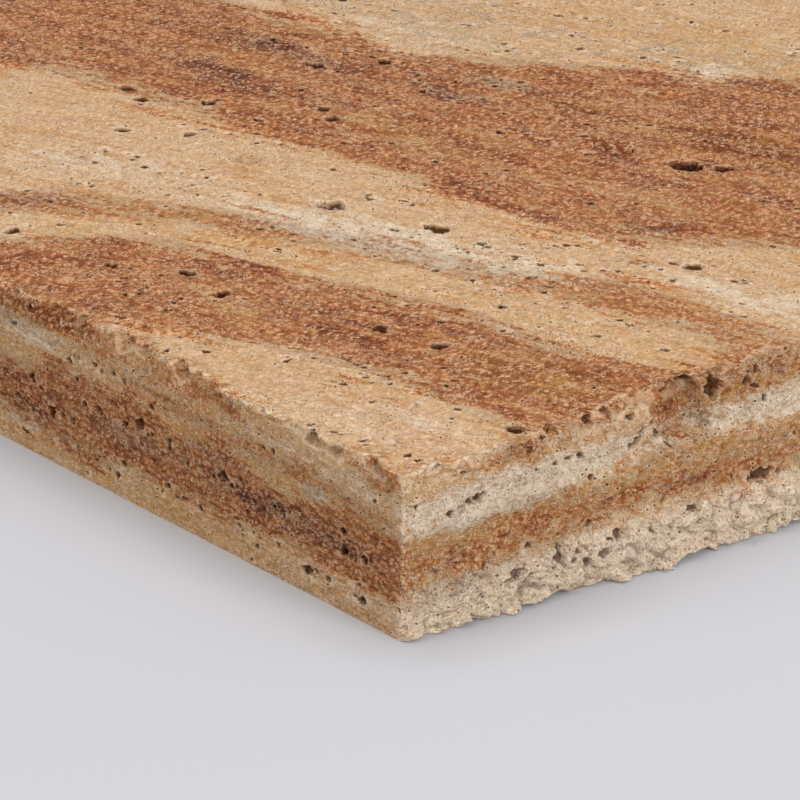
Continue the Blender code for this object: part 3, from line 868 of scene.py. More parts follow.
SAWN_LAYERS = (
    Layer(
        ((0, 7.5), (-10, 7.5), (-20, 8), (-30, 8.5), (-38, 8), (-45, 7.5), (-55, 7), (-65, 7.5),
         (-75, 8), (-80, 5), (-88, 4), (-95, 5), (-105, 6), (-112, 6.5), (-130, 7.5), (-160, 9),
         (-200, 8), (-240, 7), (-270, 8.5), (-300, 9.5)),
        ((0, 18), (-8, 19.5), (-18, 18), (-28, 16.5), (-38, 17), (-44, 19), (-49, 19.5),
         (-56, 18), (-62, 16.5), (-68, 17.5), (-74, 20), (-80, 18.5), (-88, 19), (-95, 19.5),
         (-102, 17), (-112, 16), (-140, 17), (-175, 15.5), (-210, 18), (-250, 17), (-300, 16)),
        0.88,
    ),
    Layer(
        ((0, 19.6), (-15, 20.0), (-30, 21), (-45, 21), (-58, 21.5), (-68, 23), (-78, 24.8),
         (-90, 25), (-300, 25)),
        ((0, 19.6), (-15, 21.4), (-30, 22.4), (-45, 22.6), (-58, 23.2), (-68, 24.4), (-78, 25.0),
         (-90, 24), (-300, 24)),
        0.52,
    ),
    Layer(
        ((0, 30.5), (-2, 27), (-8, 26), (-13, 28.5), (-16, 31), (-40, 31), (-44, 27.5), (-50, 27),
         (-60, 26), (-75, 25.5), (-85, 26), (-90, 25), (-100, 25.5), (-112, 26), (-130, 27),
         (-150, 26), (-165, 28), (-180, 31), (-220, 31), (-235, 28), (-262, 27), (-280, 31),
         (-300, 31)),
        FOREVER,
        0.58,
    ),
)
SAWN_STAINS = (
    Stain(Tint.MAUVE, -30, 12.5, 60, 6, 0.8, 0),
    Stain(Tint.MAUVE, -74, 12.3, 34, 5, 0.9, 0),
    Stain(Tint.MAUVE, -50, 17, 20, 4, 0.5, 0),
    Stain(Tint.MAUVE, -160, 12, 90, 6, 0.6, 0),
    Stain(Tint.MAUVE, -104, 8, 18, 4, 0.6, 0),
    Stain(Tint.IRON, -74, 12.3, 36, 4, -0.22, 0),
    Stain(Tint.IRON, -55, 16, 70, 5, -0.12, 0),
    Stain(Tint.IRON, -93, 7, 16, 5, -0.15, 0),
    Stain(Tint.IRON, -98, 28, 28, 7, 0.48, 0),
    Stain(Tint.OCHRE, -98, 28, 28, 7, 0.8, 0),
    Stain(Tint.OCHRE, -58, 19, 16, 4, 0.9, 0),
    Stain(Tint.OCHRE, -105, 19, 16, 5, 0.7, 0),
    Stain(Tint.OCHRE, -33, 18.6, 20, 3.5, 0.7, 0),
    Stain(Tint.OCHRE, -39, 7, 14, 3, 0.8, 0),
    Stain(Tint.OCHRE, -72, 17.6, 14, 4, 0.5, 0),
    Stain(Tint.OCHRE, -60, 3.5, 60, 6, 0.5, 0),
    Stain(Tint.OCHRE, -10, 19, 20, 3, 0.3, 0),
    Stain(Tint.GREY, -47, 28.5, 12, 4, 0.4, 0),
    Stain(Tint.IRON, -47, 28, 12, 5, 0.24, 0),
    Stain(Tint.IRON, -58, 19.4, 18, 5, -0.22, 0),
    Stain(Tint.GREY, -24, 28, 12, 5, 0.6, 0),
    Stain(Tint.GREY, -92, 5.8, 8, 3, 0.8, -20),
    Stain(Tint.GREY, -103, 23.8, 30, 5, 0.4, 0),
    Stain(Tint.GREY, -20, 24.5, 50, 5, 0.20, 0),
    Stain(Tint.GREY, -22.5, 19, 7, 3, 0.8, 0),
    Stain(Tint.PALE, -22.5, 19, 7, 3, 0.7, 0),
    Stain(Tint.PALE, -18, 24.5, 50, 5, 0.25, 0),
    Stain(Tint.PALE, -104, 23, 30, 5, 0.5, 0),
    Stain(Tint.PALE, -106, 5, 14, 2.5, 0.7, 0),
    Stain(Tint.PALE, -10, 4, 30, 5, 0.3, 0),
    Stain(Tint.GREY, -60, 13.5, 14, 2.5, 0.5, 0),
)

# The middle of the near split side's red layer: measured on the photo as far as 85.5 mm along
SPLIT_MIDDLE = ((0, 11.9), (8, 12.3), (15, 13), (23.7, 14.9), (33, 14.6), (43, 13.3), (54.8, 14.5),
                (66.4, 13.3), (75.8, 12.6), (85.5, 12.2), (95, 12.5), (120, 14), (150, 12),
                (180, 13.5), (220, 15), (260, 13), (300, 13.5))
SPLIT_HALF = ((0, 1.7), (12, 1.6), (20, 2.2), (28, 2.4), (38, 1.6), (45, 1.2), (55, 2.0), (63, 1.8),
              (75, 1.3), (90, 1.4), (120, 2.2), (160, 1.5), (200, 2.4), (250, 1.8), (300, 3.5))
SPLIT_HALO = ((0, 3.5), (10, 4.0), (20, 1.5), (35, 1.5), (48, 1.0), (58, 2.5), (70, 3.0), (90, 2.5),
              (140, 3.5), (200, 1.5), (250, 3.0), (300, 1.0))


def side_by_side(first: Table, second: Table, times: float) -> Table:
    """One profile with a share of another added.

    Args:
        first: the profile that is kept.
        second: the profile that is added.
        times: the share of it that is added.

    Returns:
        The sum, with a pair at every place of both.
    """
    places = sorted({place for place, _ in (*first, *second)})
    sums = along_table(first, places) + times * along_table(second, places)
    return tuple(zip(places, sums))


SPLIT_TOP = side_by_side(SPLIT_MIDDLE, SPLIT_HALF, 1)
SPLIT_LAYERS = (
    Layer(side_by_side(SPLIT_MIDDLE, SPLIT_HALF, -1), SPLIT_TOP, 0.80),
    Layer(SPLIT_MIDDLE, side_by_side(SPLIT_TOP, SPLIT_HALO, 1), 0.42),
    Layer(
        ((0, 7.2), (10, 7), (20, 9), (30, 10.3), (40, 11), (50, 12.5), (300, 12.5)),
        ((0, 10), (12, 10.2), (20, 11), (30, 12), (40, 12.2), (50, 12), (300, 12)),
        0.46,
    ),
    Layer(
        ((0, 31), (12, 31), (16, 29), (22, 27.5), (28, 26.5), (34, 28), (46, 29.5), (54, 30.5),
         (57, 24), (59, 21), (64, 20.5), (70, 23), (74, 24.5), (80, 24), (90, 25.5), (100, 27),
         (120, 28), (135, 31), (160, 31), (175, 28), (210, 27), (235, 31), (300, 31)),
        FOREVER,
        0.60,
    ),
)
SPLIT_STAINS = (
    Stain(Tint.PALE, 45, 3, 190, 15, 1.3, 0),
    Stain(Tint.PALE, 180, 4, 150, 13, 1.2, 0),
    Stain(Tint.PALE, 275, 4, 110, 13, 1.2, 0),
    Stain(Tint.PALE, 17, 7, 12, 5, 1.5, 0),
    Stain(Tint.PALE, 64, 6.7, 8, 3, 0.8, 0),
    Stain(Tint.PALE, 20, 21.5, 84, 9, 1.1, 0),
    Stain(Tint.PALE, 100, 21.2, 100, 6, 1.0, 0),
    Stain(Tint.PALE, 200, 21, 170, 8, 0.7, 0),
    Stain(Tint.PALE, 14, 19.2, 18, 4, 1.5, 0),
    Stain(Tint.GREY, 14, 21.4, 9, 2.5, 0.7, 15),
    Stain(Tint.GREY, 48, 23, 10, 3, 0.7, 0),
    Stain(Tint.GREY, 35, 22.5, 60, 3, 0.4, 0),
    Stain(Tint.GREY, 78, 22, 30, 4, 0.5, 0),
    Stain(Tint.GREY, 12, 8.5, 24, 3, 0.6, 0),
    Stain(Tint.GREY, 33, 7, 10, 5, 0.3, 0),
    Stain(Tint.OCHRE, 8, 17, 22, 5, 0.8, 0),
    Stain(Tint.OCHRE, 66, 17.5, 20, 4, 0.7, 0),
    Stain(Tint.OCHRE, 30, 18.5, 26, 3, 0.5, 0),
    Stain(Tint.OCHRE, 25.5, 28.4, 9, 6, 1.4, 0),
    Stain(Tint.IRON, 25.5, 28.8, 9, 6, 0.34, 0),
    Stain(Tint.IRON, 62.2, 26.5, 8, 8, 0.24, 0),
    Stain(Tint.OCHRE, 62.2, 26.5, 8, 8, 0.5, 0),
    Stain(Tint.IRON, 6, 17, 20, 5, -0.14, 0),
    Stain(Tint.OCHRE, 74, 28, 14, 5, 0.8, 0),
    Stain(Tint.OCHRE, 80, 24, 20, 4, 0.6, 0),
    Stain(Tint.OCHRE, 5, 26, 16, 6, 0.35, 0),
    Stain(Tint.MAUVE, 84.7, 27.2, 8, 6, 0.6, 0),
    Stain(Tint.MAUVE, 60, 13.5, 14, 3, 0.6, 0),
    Stain(Tint.MAUVE, 8, 12, 20, 3, 0.3, 0),
    Stain(Tint.IRON, 40, 11.3, 10, 3, 0.15, 0),
)


@dataclass(frozen=True)
class LayeredFace:
    """The layers and stains of one face, read at a place along it and a place across it."""

    layers: tuple[Layer, ...]
    stains: tuple[Stain, ...]
    along_axis: int
    across_axis: int
    mirror: float = 0.0
    shift: float = 0.0
    blend: float = 0.8

    def read(self, place: Array) -> dict[str, Array]:
        """Looks the face's layers up.

        Args:
            place: points in mm, one a row.

        Returns:
            The distance inside the nearest layer's edge in mm, its strength, and each tint.
        """
        along = place[:, self.along_axis]
        if self.mirror:
            along = self.mirror - along
        across = place[:, self.across_axis] + self.shift
        edge = np.full(len(place), -30.0)
        total = np.full(len(place), 1e-9)
        strength = np.zeros(len(place))
        for layer in self.layers:
            low, high = along_table(layer.low, along), along_table(layer.high, along)
            inside = np.minimum(across - low, high - across)
            edge = np.maximum(edge, inside)
            weight = np.exp(np.clip(inside, -20.0, 6.0) / self.blend)
            total += weight
            strength += weight * layer.strength
        found = {"edge": edge, "iron": strength / total}
        for tint in (Tint.OCHRE, Tint.MAUVE, Tint.PALE, Tint.GREY):
            found[tint.value] = np.zeros(len(place))
        for stain in self.stains:
            du, dv = along - stain.along, across - stain.across
            u, v = in_oval(du, dv, stain.length, stain.width, stain.turn)
            patch = stain.amount * (1.0 - smoothstep(0.25, 1.25, np.hypot(u, v)))
            if stain.tint is Tint.IRON:
                found["iron"] = found["iron"] + patch
                lift = 4.0 * (patch - 0.08) / 0.3
                found["edge"] = np.where(patch > 0.12, np.maximum(found["edge"], lift), found["edge"])
            else:
                found[stain.tint.value] = np.maximum(found[stain.tint.value], patch)
        return found


@dataclass(frozen=True)
class Colouring:
    """The stone's layers on all six faces, blended where two faces meet."""

    corner_blend: float = 2.5
    top_blend: float = 2.2

    def faces(self) -> dict[Face, LayeredFace]:
        """The layered faces; the far ones repeat the near ones turned round."""
        return {
            Face.TOP: LayeredFace(TOP_LAYERS, TOP_STAINS, 0, 1, blend=1.5),
            Face.UNDERSIDE: LayeredFace(TOP_LAYERS, TOP_STAINS[:6], 0, 1, shift=38.0, blend=1.5),
            Face.NEAR_SAWN: LayeredFace(SAWN_LAYERS, SAWN_STAINS, 0, 2),
            Face.FAR_SAWN: LayeredFace(SAWN_LAYERS, SAWN_STAINS, 0, 2, mirror=-SIDE, shift=-0.8),
            Face.NEAR_SPLIT: LayeredFace(SPLIT_LAYERS, SPLIT_STAINS, 1, 2),
            Face.FAR_SPLIT: LayeredFace(SPLIT_LAYERS, SPLIT_STAINS, 1, 2, mirror=SIDE, shift=0.6),
        }

    def fields(self, home: Array) -> dict[str, Array]:
        """The colouring of every point.

        Args:
            home: each point's place on the ruled box, in mm.

        Returns:
            The distance inside the nearest layer, the strength, the tints, how far each point
            belongs to the top, and how far it lies from the nearest arris.
        """
        depth = {
            Face.TOP: THICKNESS - home[:, 2],
            Face.UNDERSIDE: home[:, 2],
            Face.NEAR_SAWN: home[:, 1],
            Face.FAR_SAWN: SIDE - home[:, 1],
            Face.NEAR_SPLIT: -home[:, 0],
            Face.FAR_SPLIT: SIDE + home[:, 0],
        }
        weights = {}
        for face, away in depth.items():
            reach = self.top_blend if face is Face.TOP else self.corner_blend
            weights[face] = 1.0 - smoothstep(0.0, reach, away) + 1e-6
        # The foot keeps the colours of its side right down to the ground
        inner = np.minimum.reduce([depth[face] for face in Face if face.value[2] != 2])
        weights[Face.UNDERSIDE] *= (home[:, 2] < 0.01) * smoothstep(0.2, 2.0, inner)
        arris = np.sort([away for face, away in depth.items() if face is not Face.UNDERSIDE], axis=0)[1]
        total = sum(weights.values())
        blended: dict[str, Array] = {"top": weights[Face.TOP] / total, "to_arris": arris}
        for face, layered in self.faces().items():
            share = weights[face] / total
            for name, values in layered.read(home).items():
                blended[name] = blended.get(name, 0.0) + share * values
        return blended


class Tone(Enum):
    """The stone's colours as an eye names them, and the painted highlights and shade laid over them, in sRGB
    from 0 to 255.
    """

    CREAM = (229, 190, 147)
    TAN = (221, 177, 130)
    GOLD = (217, 163, 106)
    RUST = (226, 157, 98)
    RED = (224, 145, 90)
    OXBLOOD = (180, 104, 62)
    STRAW = (218, 174, 116)
    HONEY = (220, 156, 84)
    BURNT = (164, 90, 38)
    ROSE = (220, 180, 148)
    MAUVE = (188, 130, 100)
    PLUM = (118, 68, 54)
    CHALK = (244, 226, 202)
    ASH = (192, 170, 140)
    # Painted highlights on the crests, round the hollows and pores and along the arrises
    CREST = (253, 208, 164)
    GLINT = (252, 228, 196)
    # Painted shade in the fine pores and in the deep hollows, with their own darker brown
    PORE = (150, 116, 90)
    PIT = (104, 70, 46)
    FLOOR = (184, 184, 187)

    def linear(self) -> Rgba:
        """The tone as a linear colour with full alpha."""
        parts = []
        for part in self.value:
            share = part / 255.0
            parts.append(share / 12.92 if share <= 0.04045 else ((share + 0.055) / 1.055) ** 2.4)
        return (*parts, 1.0)


Socket = bpy.types.NodeSocket
Input = float | tuple | Socket | Tone


@dataclass
class NodeSheet:
    """Lays out the nodes of one material, with plain calls for what it uses often."""

    tree: bpy.types.NodeTree

    def add(self, kind: str, **settings: object) -> bpy.types.Node:
        """Adds a node.

        Args:
            kind: the node's type.
            settings: its properties.

        Returns:
            The node.
        """
        node = self.tree.nodes.new(kind)
        for name, value in settings.items():
            setattr(node, name, value)
        return node

    def feed(self, socket: Socket, value: Input) -> None:
        """Links a socket, or sets its value.

        Args:
            socket: the input to feed.
            value: another node's output, a number, a vector or a tone.
        """
        if isinstance(value, bpy.types.NodeSocket):
            self.tree.links.new(value, socket)
        elif isinstance(value, Tone):
            socket.default_value = value.linear()
        else:
            socket.default_value = value

    def math(self, operation: str, *values: Input, clamp: bool = False) -> Socket:
        """One sum.

        Args:
            operation: the Math node's operation.
            values: its inputs, in order.
            clamp: whether the result stays between 0 and 1.

        Returns:
            The result.
        """
        node = self.add("ShaderNodeMath", operation=operation, use_clamp=clamp)
        for socket, value in zip(node.inputs, values):
            self.feed(socket, value)
        return node.outputs[0]

    def scaled(self, vector: Socket, by: tuple[float, float, float]) -> Socket:
        """A vector with each part scaled.

        Args:
            vector: the vector.
            by: the three scales.

        Returns:
            The scaled vector.
        """
        node = self.add("ShaderNodeVectorMath", operation="MULTIPLY")
        self.feed(node.inputs[0], vector)
        self.feed(node.inputs[1], by)
        return node.outputs[0]

    def noise(self, vector: Socket, scale: float, detail: float, rough: float) -> Socket:
        """Fractal noise around 0.5.

        Args:
            vector: where to read it.
            scale: waves per unit.
            detail: the number of finer octaves.
            rough: how strong the finer octaves are.

        Returns:
            The noise.
        """
        node = self.add("ShaderNodeTexNoise")
        self.feed(node.inputs["Vector"], vector)
        self.feed(node.inputs["Scale"], scale)
        self.feed(node.inputs["Detail"], detail)
        self.feed(node.inputs["Roughness"], rough)
        return node.outputs[0]

    def step(self, value: Input, low: Input, high: Input, to_low: Input = 0.0,
             to_high: Input = 1.0) -> Socket:
        """A smooth rise between two levels.

        Args:
            value: the number to look up.
            low: where the rise starts.
            high: where it ends.
            to_low: the result before it.
            to_high: the result past it.

        Returns:
            The result.
        """
        node = self.add("ShaderNodeMapRange", interpolation_type="SMOOTHSTEP")
        for name, fed in (("Value", value), ("From Min", low), ("From Max", high),
                          ("To Min", to_low), ("To Max", to_high)):
            self.feed(node.inputs[name], fed)
        return node.outputs[0]

    def mix(self, share: Input, first: Input, second: Input, blend: str = "MIX") -> Socket:
        """Two colours blended.

        Args:
            share: how much of the second shows.
            first: the colour below.
            second: the colour above.
            blend: the way of blending.

        Returns:
            The colour.
        """
        node = self.add("ShaderNodeMix", data_type="RGBA", blend_type=blend)
        for socket, value in zip((node.inputs[0], node.inputs[6], node.inputs[7]),
                                 (share, first, second)):
            self.feed(socket, value)
        return node.outputs[2]

    def ramp(self, value: Socket, stops: Sequence[tuple[float, Tone]]) -> Socket:
        """A colour for each level.

        Args:
            value: the level.
            stops: the levels at which the tones stand.

        Returns:
            The colour.
        """
        node = self.add("ShaderNodeValToRGB")
        elements = node.color_ramp.elements
        for _ in range(len(stops) - 2):
            elements.new(0.5)
        for element, (level, tone) in zip(elements, stops):
            element.position = level
            element.color = tone.linear()
        self.feed(node.inputs[0], value)
        return node.outputs[0]

    def layer(self, name: str) -> Socket:
        """One of the colouring's fields, as the mesh carries it."""
        return self.add("ShaderNodeAttribute", attribute_name=name).outputs["Fac"]


@dataclass(frozen=True)
class Effect:
    """An effect that several places of a material share, as a node group with named sockets."""

    name: str
    inputs: tuple[tuple[str, str, object], ...]
    outputs: tuple[tuple[str, str], ...]

    def group(self) -> tuple[NodeSheet, dict[str, Socket], dict[str, Socket]]:
        """An empty group for the effect.

        Returns:
            The group's sheet, what comes in by name, and where the results go by name.
        """
        tree = bpy.data.node_groups.new(self.name, "ShaderNodeTree")
        for name, kind, value in self.inputs:
            socket = tree.interface.new_socket(name, in_out="INPUT", socket_type=kind)
            if value is not None:
                socket.default_value = value
        for name, kind in self.outputs:
            tree.interface.new_socket(name, in_out="OUTPUT", socket_type=kind)
        sheet = NodeSheet(tree)
        came, goes = sheet.add("NodeGroupInput"), sheet.add("NodeGroupOutput")
        return sheet, {s.name: s for s in came.outputs}, {s.name: s for s in goes.inputs}


VALUE, VECTOR, COLOUR = "NodeSocketFloat", "NodeSocketVector", "NodeSocketColor"


def cell_effect() -> bpy.types.NodeTree:
    """Cells with a pore in some of them and a ring round it, which the finish lights as a painted highlight.

    Returns:
        The node group: Place, Scale, Size and Share in; Pore, Rim and Distance out.
    """
    effect = Effect(
        "pore_cells",
        (("Place", VECTOR, None), ("Scale", VALUE, 1.0), ("Size", VALUE, 0.3), ("Share", VALUE, 0.5)),
        (("Pore", VALUE), ("Rim", VALUE), ("Distance", VALUE)),
    )
    sheet, given, goes = effect.group()
    cells = sheet.add("ShaderNodeTexVoronoi")
    sheet.feed(cells.inputs["Vector"], given["Place"])
    sheet.feed(cells.inputs["Scale"], given["Scale"])
    chance = sheet.add("ShaderNodeSeparateColor")
    sheet.feed(chance.inputs[0], cells.outputs["Color"])
    distance = cells.outputs["Distance"]
    size = sheet.math("MULTIPLY", given["Size"], sheet.step(chance.outputs[1], 0.0, 1.0, 0.4, 1.35))
    pore = sheet.step(distance, size, sheet.math("MULTIPLY", size, 0.5))
    ring = sheet.step(distance, sheet.math("MULTIPLY", size, 1.9), sheet.math("MULTIPLY", size, 1.1))
    kept = sheet.math("LESS_THAN", chance.outputs[0], given["Share"])
    sheet.feed(goes["Pore"], sheet.math("MULTIPLY", pore, kept))
    sheet.feed(goes["Rim"], sheet.math("MULTIPLY", sheet.math("SUBTRACT", ring, pore), kept))
    sheet.feed(goes["Distance"], distance)
    return sheet.tree


def wash_effect() -> bpy.types.NodeTree:
    """A second colour laid over a first one in a ragged patch.

    Returns:
        The node group: Colour, Over, Amount, Ragged and Most in, Colour out.
    """
    effect = Effect(
        "ragged_wash",
        (("Colour", COLOUR, None), ("Over", COLOUR, None), ("Amount", VALUE, 0.0),
         ("Ragged", VALUE, 0.0), ("Most", VALUE, 1.0)),
        (("Colour", COLOUR),),
    )
    sheet, given, goes = effect.group()
    amount = sheet.math("ADD", given["Amount"], given["Ragged"])
    held = sheet.math("MULTIPLY", sheet.step(amount, 0.15, 0.95), given["Most"])
    shown = sheet.math("MULTIPLY", held, sheet.step(given["Amount"], 0.0, 0.25))
    sheet.feed(goes["Colour"], sheet.mix(shown, given["Colour"], given["Over"]))
    return sheet.tree


@dataclass(frozen=True)
class TravertineFinish:
    """Brushed banded travertine: iron-red, gold and cream layers, specks, pores and crests, with painted
    shade in its low relief and hollows and painted highlights on its crests, rims and arrises.
    """

    name: str = "brushed_travertine"
    layer_turn: float = -17.2
    wander: float = 26.0
    strands: float = 22.0
    fray: float = 17.0
    side_share: float = 0.33
    top_relief: float = 1.35
    side_relief: float = 1.80
    pore_depth: float = 0.55
    scale_height: float = 0.55
    roughness: float = 0.78
    ior: float = 1.40
    shine: float = 0.2
    # How far the painted shade darkens the low lumps, the cells' edges, the fine grain and the cracks
    lump_painted_shade: Rgba = (0.55, 0.42, 0.30, 1.0)
    cell_painted_shade: Rgba = (0.50, 0.36, 0.24, 1.0)
    grain_painted_shade: Rgba = (0.44, 0.30, 0.18, 1.0)
    crack_painted_shade: Rgba = (0.36, 0.27, 0.20, 1.0)

    def material(self) -> bpy.types.Material:
        """The finished material."""
        material = bpy.data.materials.new(self.name)
        material.use_nodes = True
        sheet = NodeSheet(material.node_tree)
        shader = material.node_tree.nodes["Principled BSDF"]
        place = self.places(sheet)
        top = sheet.layer("top")
        iron = self.iron(sheet, place, top)
        grain = self.grain(sheet, place)
        colour = self.paint_shade_and_highlights(sheet, self.stain(sheet, place, iron), top, iron, grain)
        sheet.feed(shader.inputs["Base Color"], colour)
        sheet.feed(shader.inputs["Normal"], self.bumps(sheet, top, grain))
        rough = sheet.step(grain["fine"], 0.4, 0.62, self.roughness + 0.1, self.roughness - 0.14)
        sheet.feed(shader.inputs["Roughness"], rough)
        shader.inputs["IOR"].default_value = self.ior
        shader.inputs["Specular IOR Level"].default_value = self.shine
        return material

    def places(self, sheet: NodeSheet) -> dict[str, Socket]:
        """The places the patterns are read at, in mm and along the layers.

        Args:
            sheet: the material's nodes.

        Returns:
            The place itself, and the place drawn out along the layers less and more.
        """
        coordinates = sheet.add("ShaderNodeTexCoord").outputs["Object"]
        place = sheet.scaled(coordinates, (1 / MM, 1 / MM, 1 / MM))
        turn = sheet.add("ShaderNodeMapping")
        turn.inputs["Rotation"].default_value = (0.0, 0.0, math.radians(self.layer_turn))
        sheet.feed(turn.inputs["Vector"], place)
        along = turn.outputs[0]
        return {
            "plain": place,
            "patches": sheet.scaled(along, (0.45, 1.0, 2.2)),
            "strands": sheet.scaled(along, (0.13, 1.0, 2.6)),
            "scales": sheet.scaled(along, (1.05, 0.82, 1.3)),
        }

    def iron(self, sheet: NodeSheet, place: dict[str, Socket], top: Socket) -> dict[str, Socket]:
        """How iron-red the stone is, with the layers' edges wandering, stranded and frayed.

        Args:
            sheet: the material's nodes.
            place: the places to read at.
            top: how far a point belongs to the top.

        Returns:
            The level of iron, and the patterns that other colours follow too.
        """
        reach = sheet.step(top, 0.0, 1.0, self.side_share, 1.0)
        wander = sheet.noise(place["patches"], 0.10, 4.0, 0.62)
        strand = sheet.noise(place["strands"], 0.42, 4.0, 0.66)
        fray = sheet.noise(place["scales"], 0.62, 3.0, 0.75)
        shift = None
        for pattern, far in ((wander, self.wander), (strand, self.strands), (fray, self.fray)):
            part = sheet.math("MULTIPLY", sheet.math("SUBTRACT", pattern, 0.5), far)
            shift = part if shift is None else sheet.math("ADD", shift, part)
        edge = sheet.math("ADD", sheet.layer("edge"), sheet.math("MULTIPLY", shift, reach))
        mask = sheet.step(edge, -1.3, 1.3)
        halo = sheet.step(edge, -9.0, 1.0)
        mottle = sheet.noise(place["patches"], 0.22, 4.0, 0.70)
        body = sheet.math("MULTIPLY", sheet.layer("iron"), sheet.step(mottle, 0.36, 0.64, 0.66, 1.16))
        body = sheet.math("ADD", body, sheet.math("MULTIPLY", sheet.math("SUBTRACT", strand, 0.5), 0.9))
        base = sheet.math("MULTIPLY", halo, sheet.step(mottle, 0.38, 0.62, 0.04, 0.30))
        base = sheet.math("ADD", base, sheet.step(strand, 0.44, 0.66, 0.0, 0.26))
        base = sheet.math("ADD", base, sheet.step(wander, 0.45, 0.65, 0.0, 0.16))
        more = sheet.math("MULTIPLY", mask, sheet.math("SUBTRACT", body, base))
        level = sheet.math("ADD", base, more, clamp=True)
        return {"level": level, "mask": mask, "mottle": mottle, "strand": strand}

    def grain(self, sheet: NodeSheet, place: dict[str, Socket]) -> dict[str, Socket]:
        """The relief too fine for the mesh.

        Args:
            sheet: the material's nodes.
            place: the places to read at.

        Returns:
            The lumps of a few mm and the cracks between them, the grain of a mm, the scales, the
            pores in three sizes and crowds, the larger ones alone, and the rings round the pores that get a
            painted highlight.
        """
        grain = {
            "lumps": sheet.noise(place["plain"], 0.38, 2.0, 0.66),
            "fine": sheet.noise(place["scales"], 1.0, 4.0, 0.78),
        }
        # The cells are read at places moved to and fro, which makes them ragged
        ragged = sheet.add("ShaderNodeVectorMath", operation="MULTIPLY_ADD")
        sheet.feed(ragged.inputs[0], sheet.noise(place["plain"], 1.7, 1.0, 0.6))
        ragged.inputs[1].default_value = (1.3, -1.0, 0.9)
        sheet.feed(ragged.inputs[2], place["scales"])
        crowd = sheet.noise(place["strands"], 0.30, 2.0, 0.6)
        cells = cell_effect()
        for scale, size, few, many in ((0.45, 0.17, 0.03, 0.45), (0.95, 0.26, 0.09, 0.65),
                                       (1.9, 0.33, 0.12, 0.65)):
            node = sheet.add("ShaderNodeGroup", node_tree=cells)
            share = sheet.step(crowd, 0.38, 0.62, few, many)
            for socket, value in (("Place", ragged.outputs[0]), ("Scale", scale), ("Size", size),
                                  ("Share", share)):
                sheet.feed(node.inputs[socket], value)
            for name, output in (("pores", "Pore"), ("rims", "Rim")):
                mask = node.outputs[output]
                grain[name] = sheet.math("MAXIMUM", grain[name], mask) if name in grain else mask
            if scale < 1.0:
                grain["scales"] = node.outputs["Distance"]
                grain["sunk"] = grain["pores"]
        offset = sheet.math("ABSOLUTE", sheet.math("SUBTRACT", grain["lumps"], 0.5))
        grain["cracks"] = sheet.step(offset, 0.016, 0.004)
        return grain

    def stain(self, sheet: NodeSheet, place: dict[str, Socket], iron: dict[str, Socket]) -> Socket:
        """The stone's own colour, before the painted shade and highlights.

        Args:
            sheet: the material's nodes.
            place: the places to read at.
            iron: the level of iron and its patterns.

        Returns:
            The colour.
        """
        level = iron["level"]
        colour = sheet.ramp(level, ((0.0, Tone.CREAM), (0.18, Tone.TAN), (0.38, Tone.GOLD),
                                    (0.58, Tone.RUST), (0.80, Tone.RED), (1.0, Tone.OXBLOOD)))
        warm = sheet.ramp(level, ((0.0, Tone.STRAW), (0.5, Tone.HONEY), (1.0, Tone.BURNT)))
        cool = sheet.ramp(level, ((0.0, Tone.ROSE), (0.5, Tone.MAUVE), (1.0, Tone.PLUM)))
        broken = sheet.noise(place["patches"], 0.36, 4.0, 0.74)
        ragged = sheet.math("MULTIPLY", sheet.math("SUBTRACT", broken, 0.5), 3.6)
        wash = wash_effect()
        for name, over, least, most in (
            ("ochre", warm, 0.20, 0.85), ("mauve", cool, 0.14, 0.85), ("pale", Tone.CHALK, 0.06, 0.85),
            ("grey", Tone.ASH, 0.05, 0.75),
        ):
            node = sheet.add("ShaderNodeGroup", node_tree=wash)
            amount = sheet.math("ADD", sheet.layer(name), least)
            for socket, value in (("Colour", colour), ("Over", over), ("Amount", amount),
                                  ("Ragged", ragged), ("Most", most)):
                sheet.feed(node.inputs[socket], value)
            colour = node.outputs["Colour"]
            ragged = sheet.math("MULTIPLY", ragged, -1.0)
        return colour

    def paint_shade_and_highlights(self, sheet: NodeSheet, colour: Socket, top: Socket, iron: dict[str, Socket],
                grain: dict[str, Socket]) -> Socket:
        """Paints shade into the low relief, the hollows, the cracks and the pores, and paints highlights on
        the crests, round the hollows and pores, and on the arrises, whose broken stone is paler too.

        Args:
            sheet: the material's nodes.
            colour: the stone's colour.
            top: how far a point belongs to the top.
            iron: the level of iron and its patterns.
            grain: the fine relief.

        Returns:
            The finished colour.
        """
        red = sheet.step(iron["level"], 0.25, 0.75)
        fine, scales = grain["fine"], grain["scales"]
        # Painted shade in the low parts of the relief that the bump draws: between the lumps, at the cells'
        # edges and in the fine grain, deeper on the red
        for low, share, shade in (
            (sheet.step(grain["lumps"], 0.50, 0.36), 0.25, self.lump_painted_shade),
            (sheet.step(scales, 0.42, 0.62), sheet.step(red, 0.0, 1.0, 0.12, 0.65), self.cell_painted_shade),
            (sheet.step(fine, 0.47, 0.40), sheet.step(red, 0.0, 1.0, 0.42, 0.75), self.grain_painted_shade),
        ):
            colour = sheet.mix(sheet.math("MULTIPLY", low, share), colour, shade, "MULTIPLY")
        # Painted highlight on the crests of the fine relief, strongest on the red
        crest_highlight = sheet.math("MULTIPLY", sheet.step(fine, 0.505, 0.565), sheet.step(scales, 0.55, 0.28))
        crest_highlight = sheet.math("MULTIPLY", crest_highlight, sheet.step(red, 0.0, 1.0, 0.55, 0.95))
        crest_highlight = sheet.math("MULTIPLY", crest_highlight, sheet.step(iron["mottle"], 0.40, 0.54, 0.45, 1.0))
        # The colour of the painted highlights: paler on cream, warmer on red
        bright = sheet.mix(red, Tone.GLINT, Tone.CREST)
        colour = sheet.mix(crest_highlight, colour, bright)
        side = sheet.step(top, 0.5, 0.35)
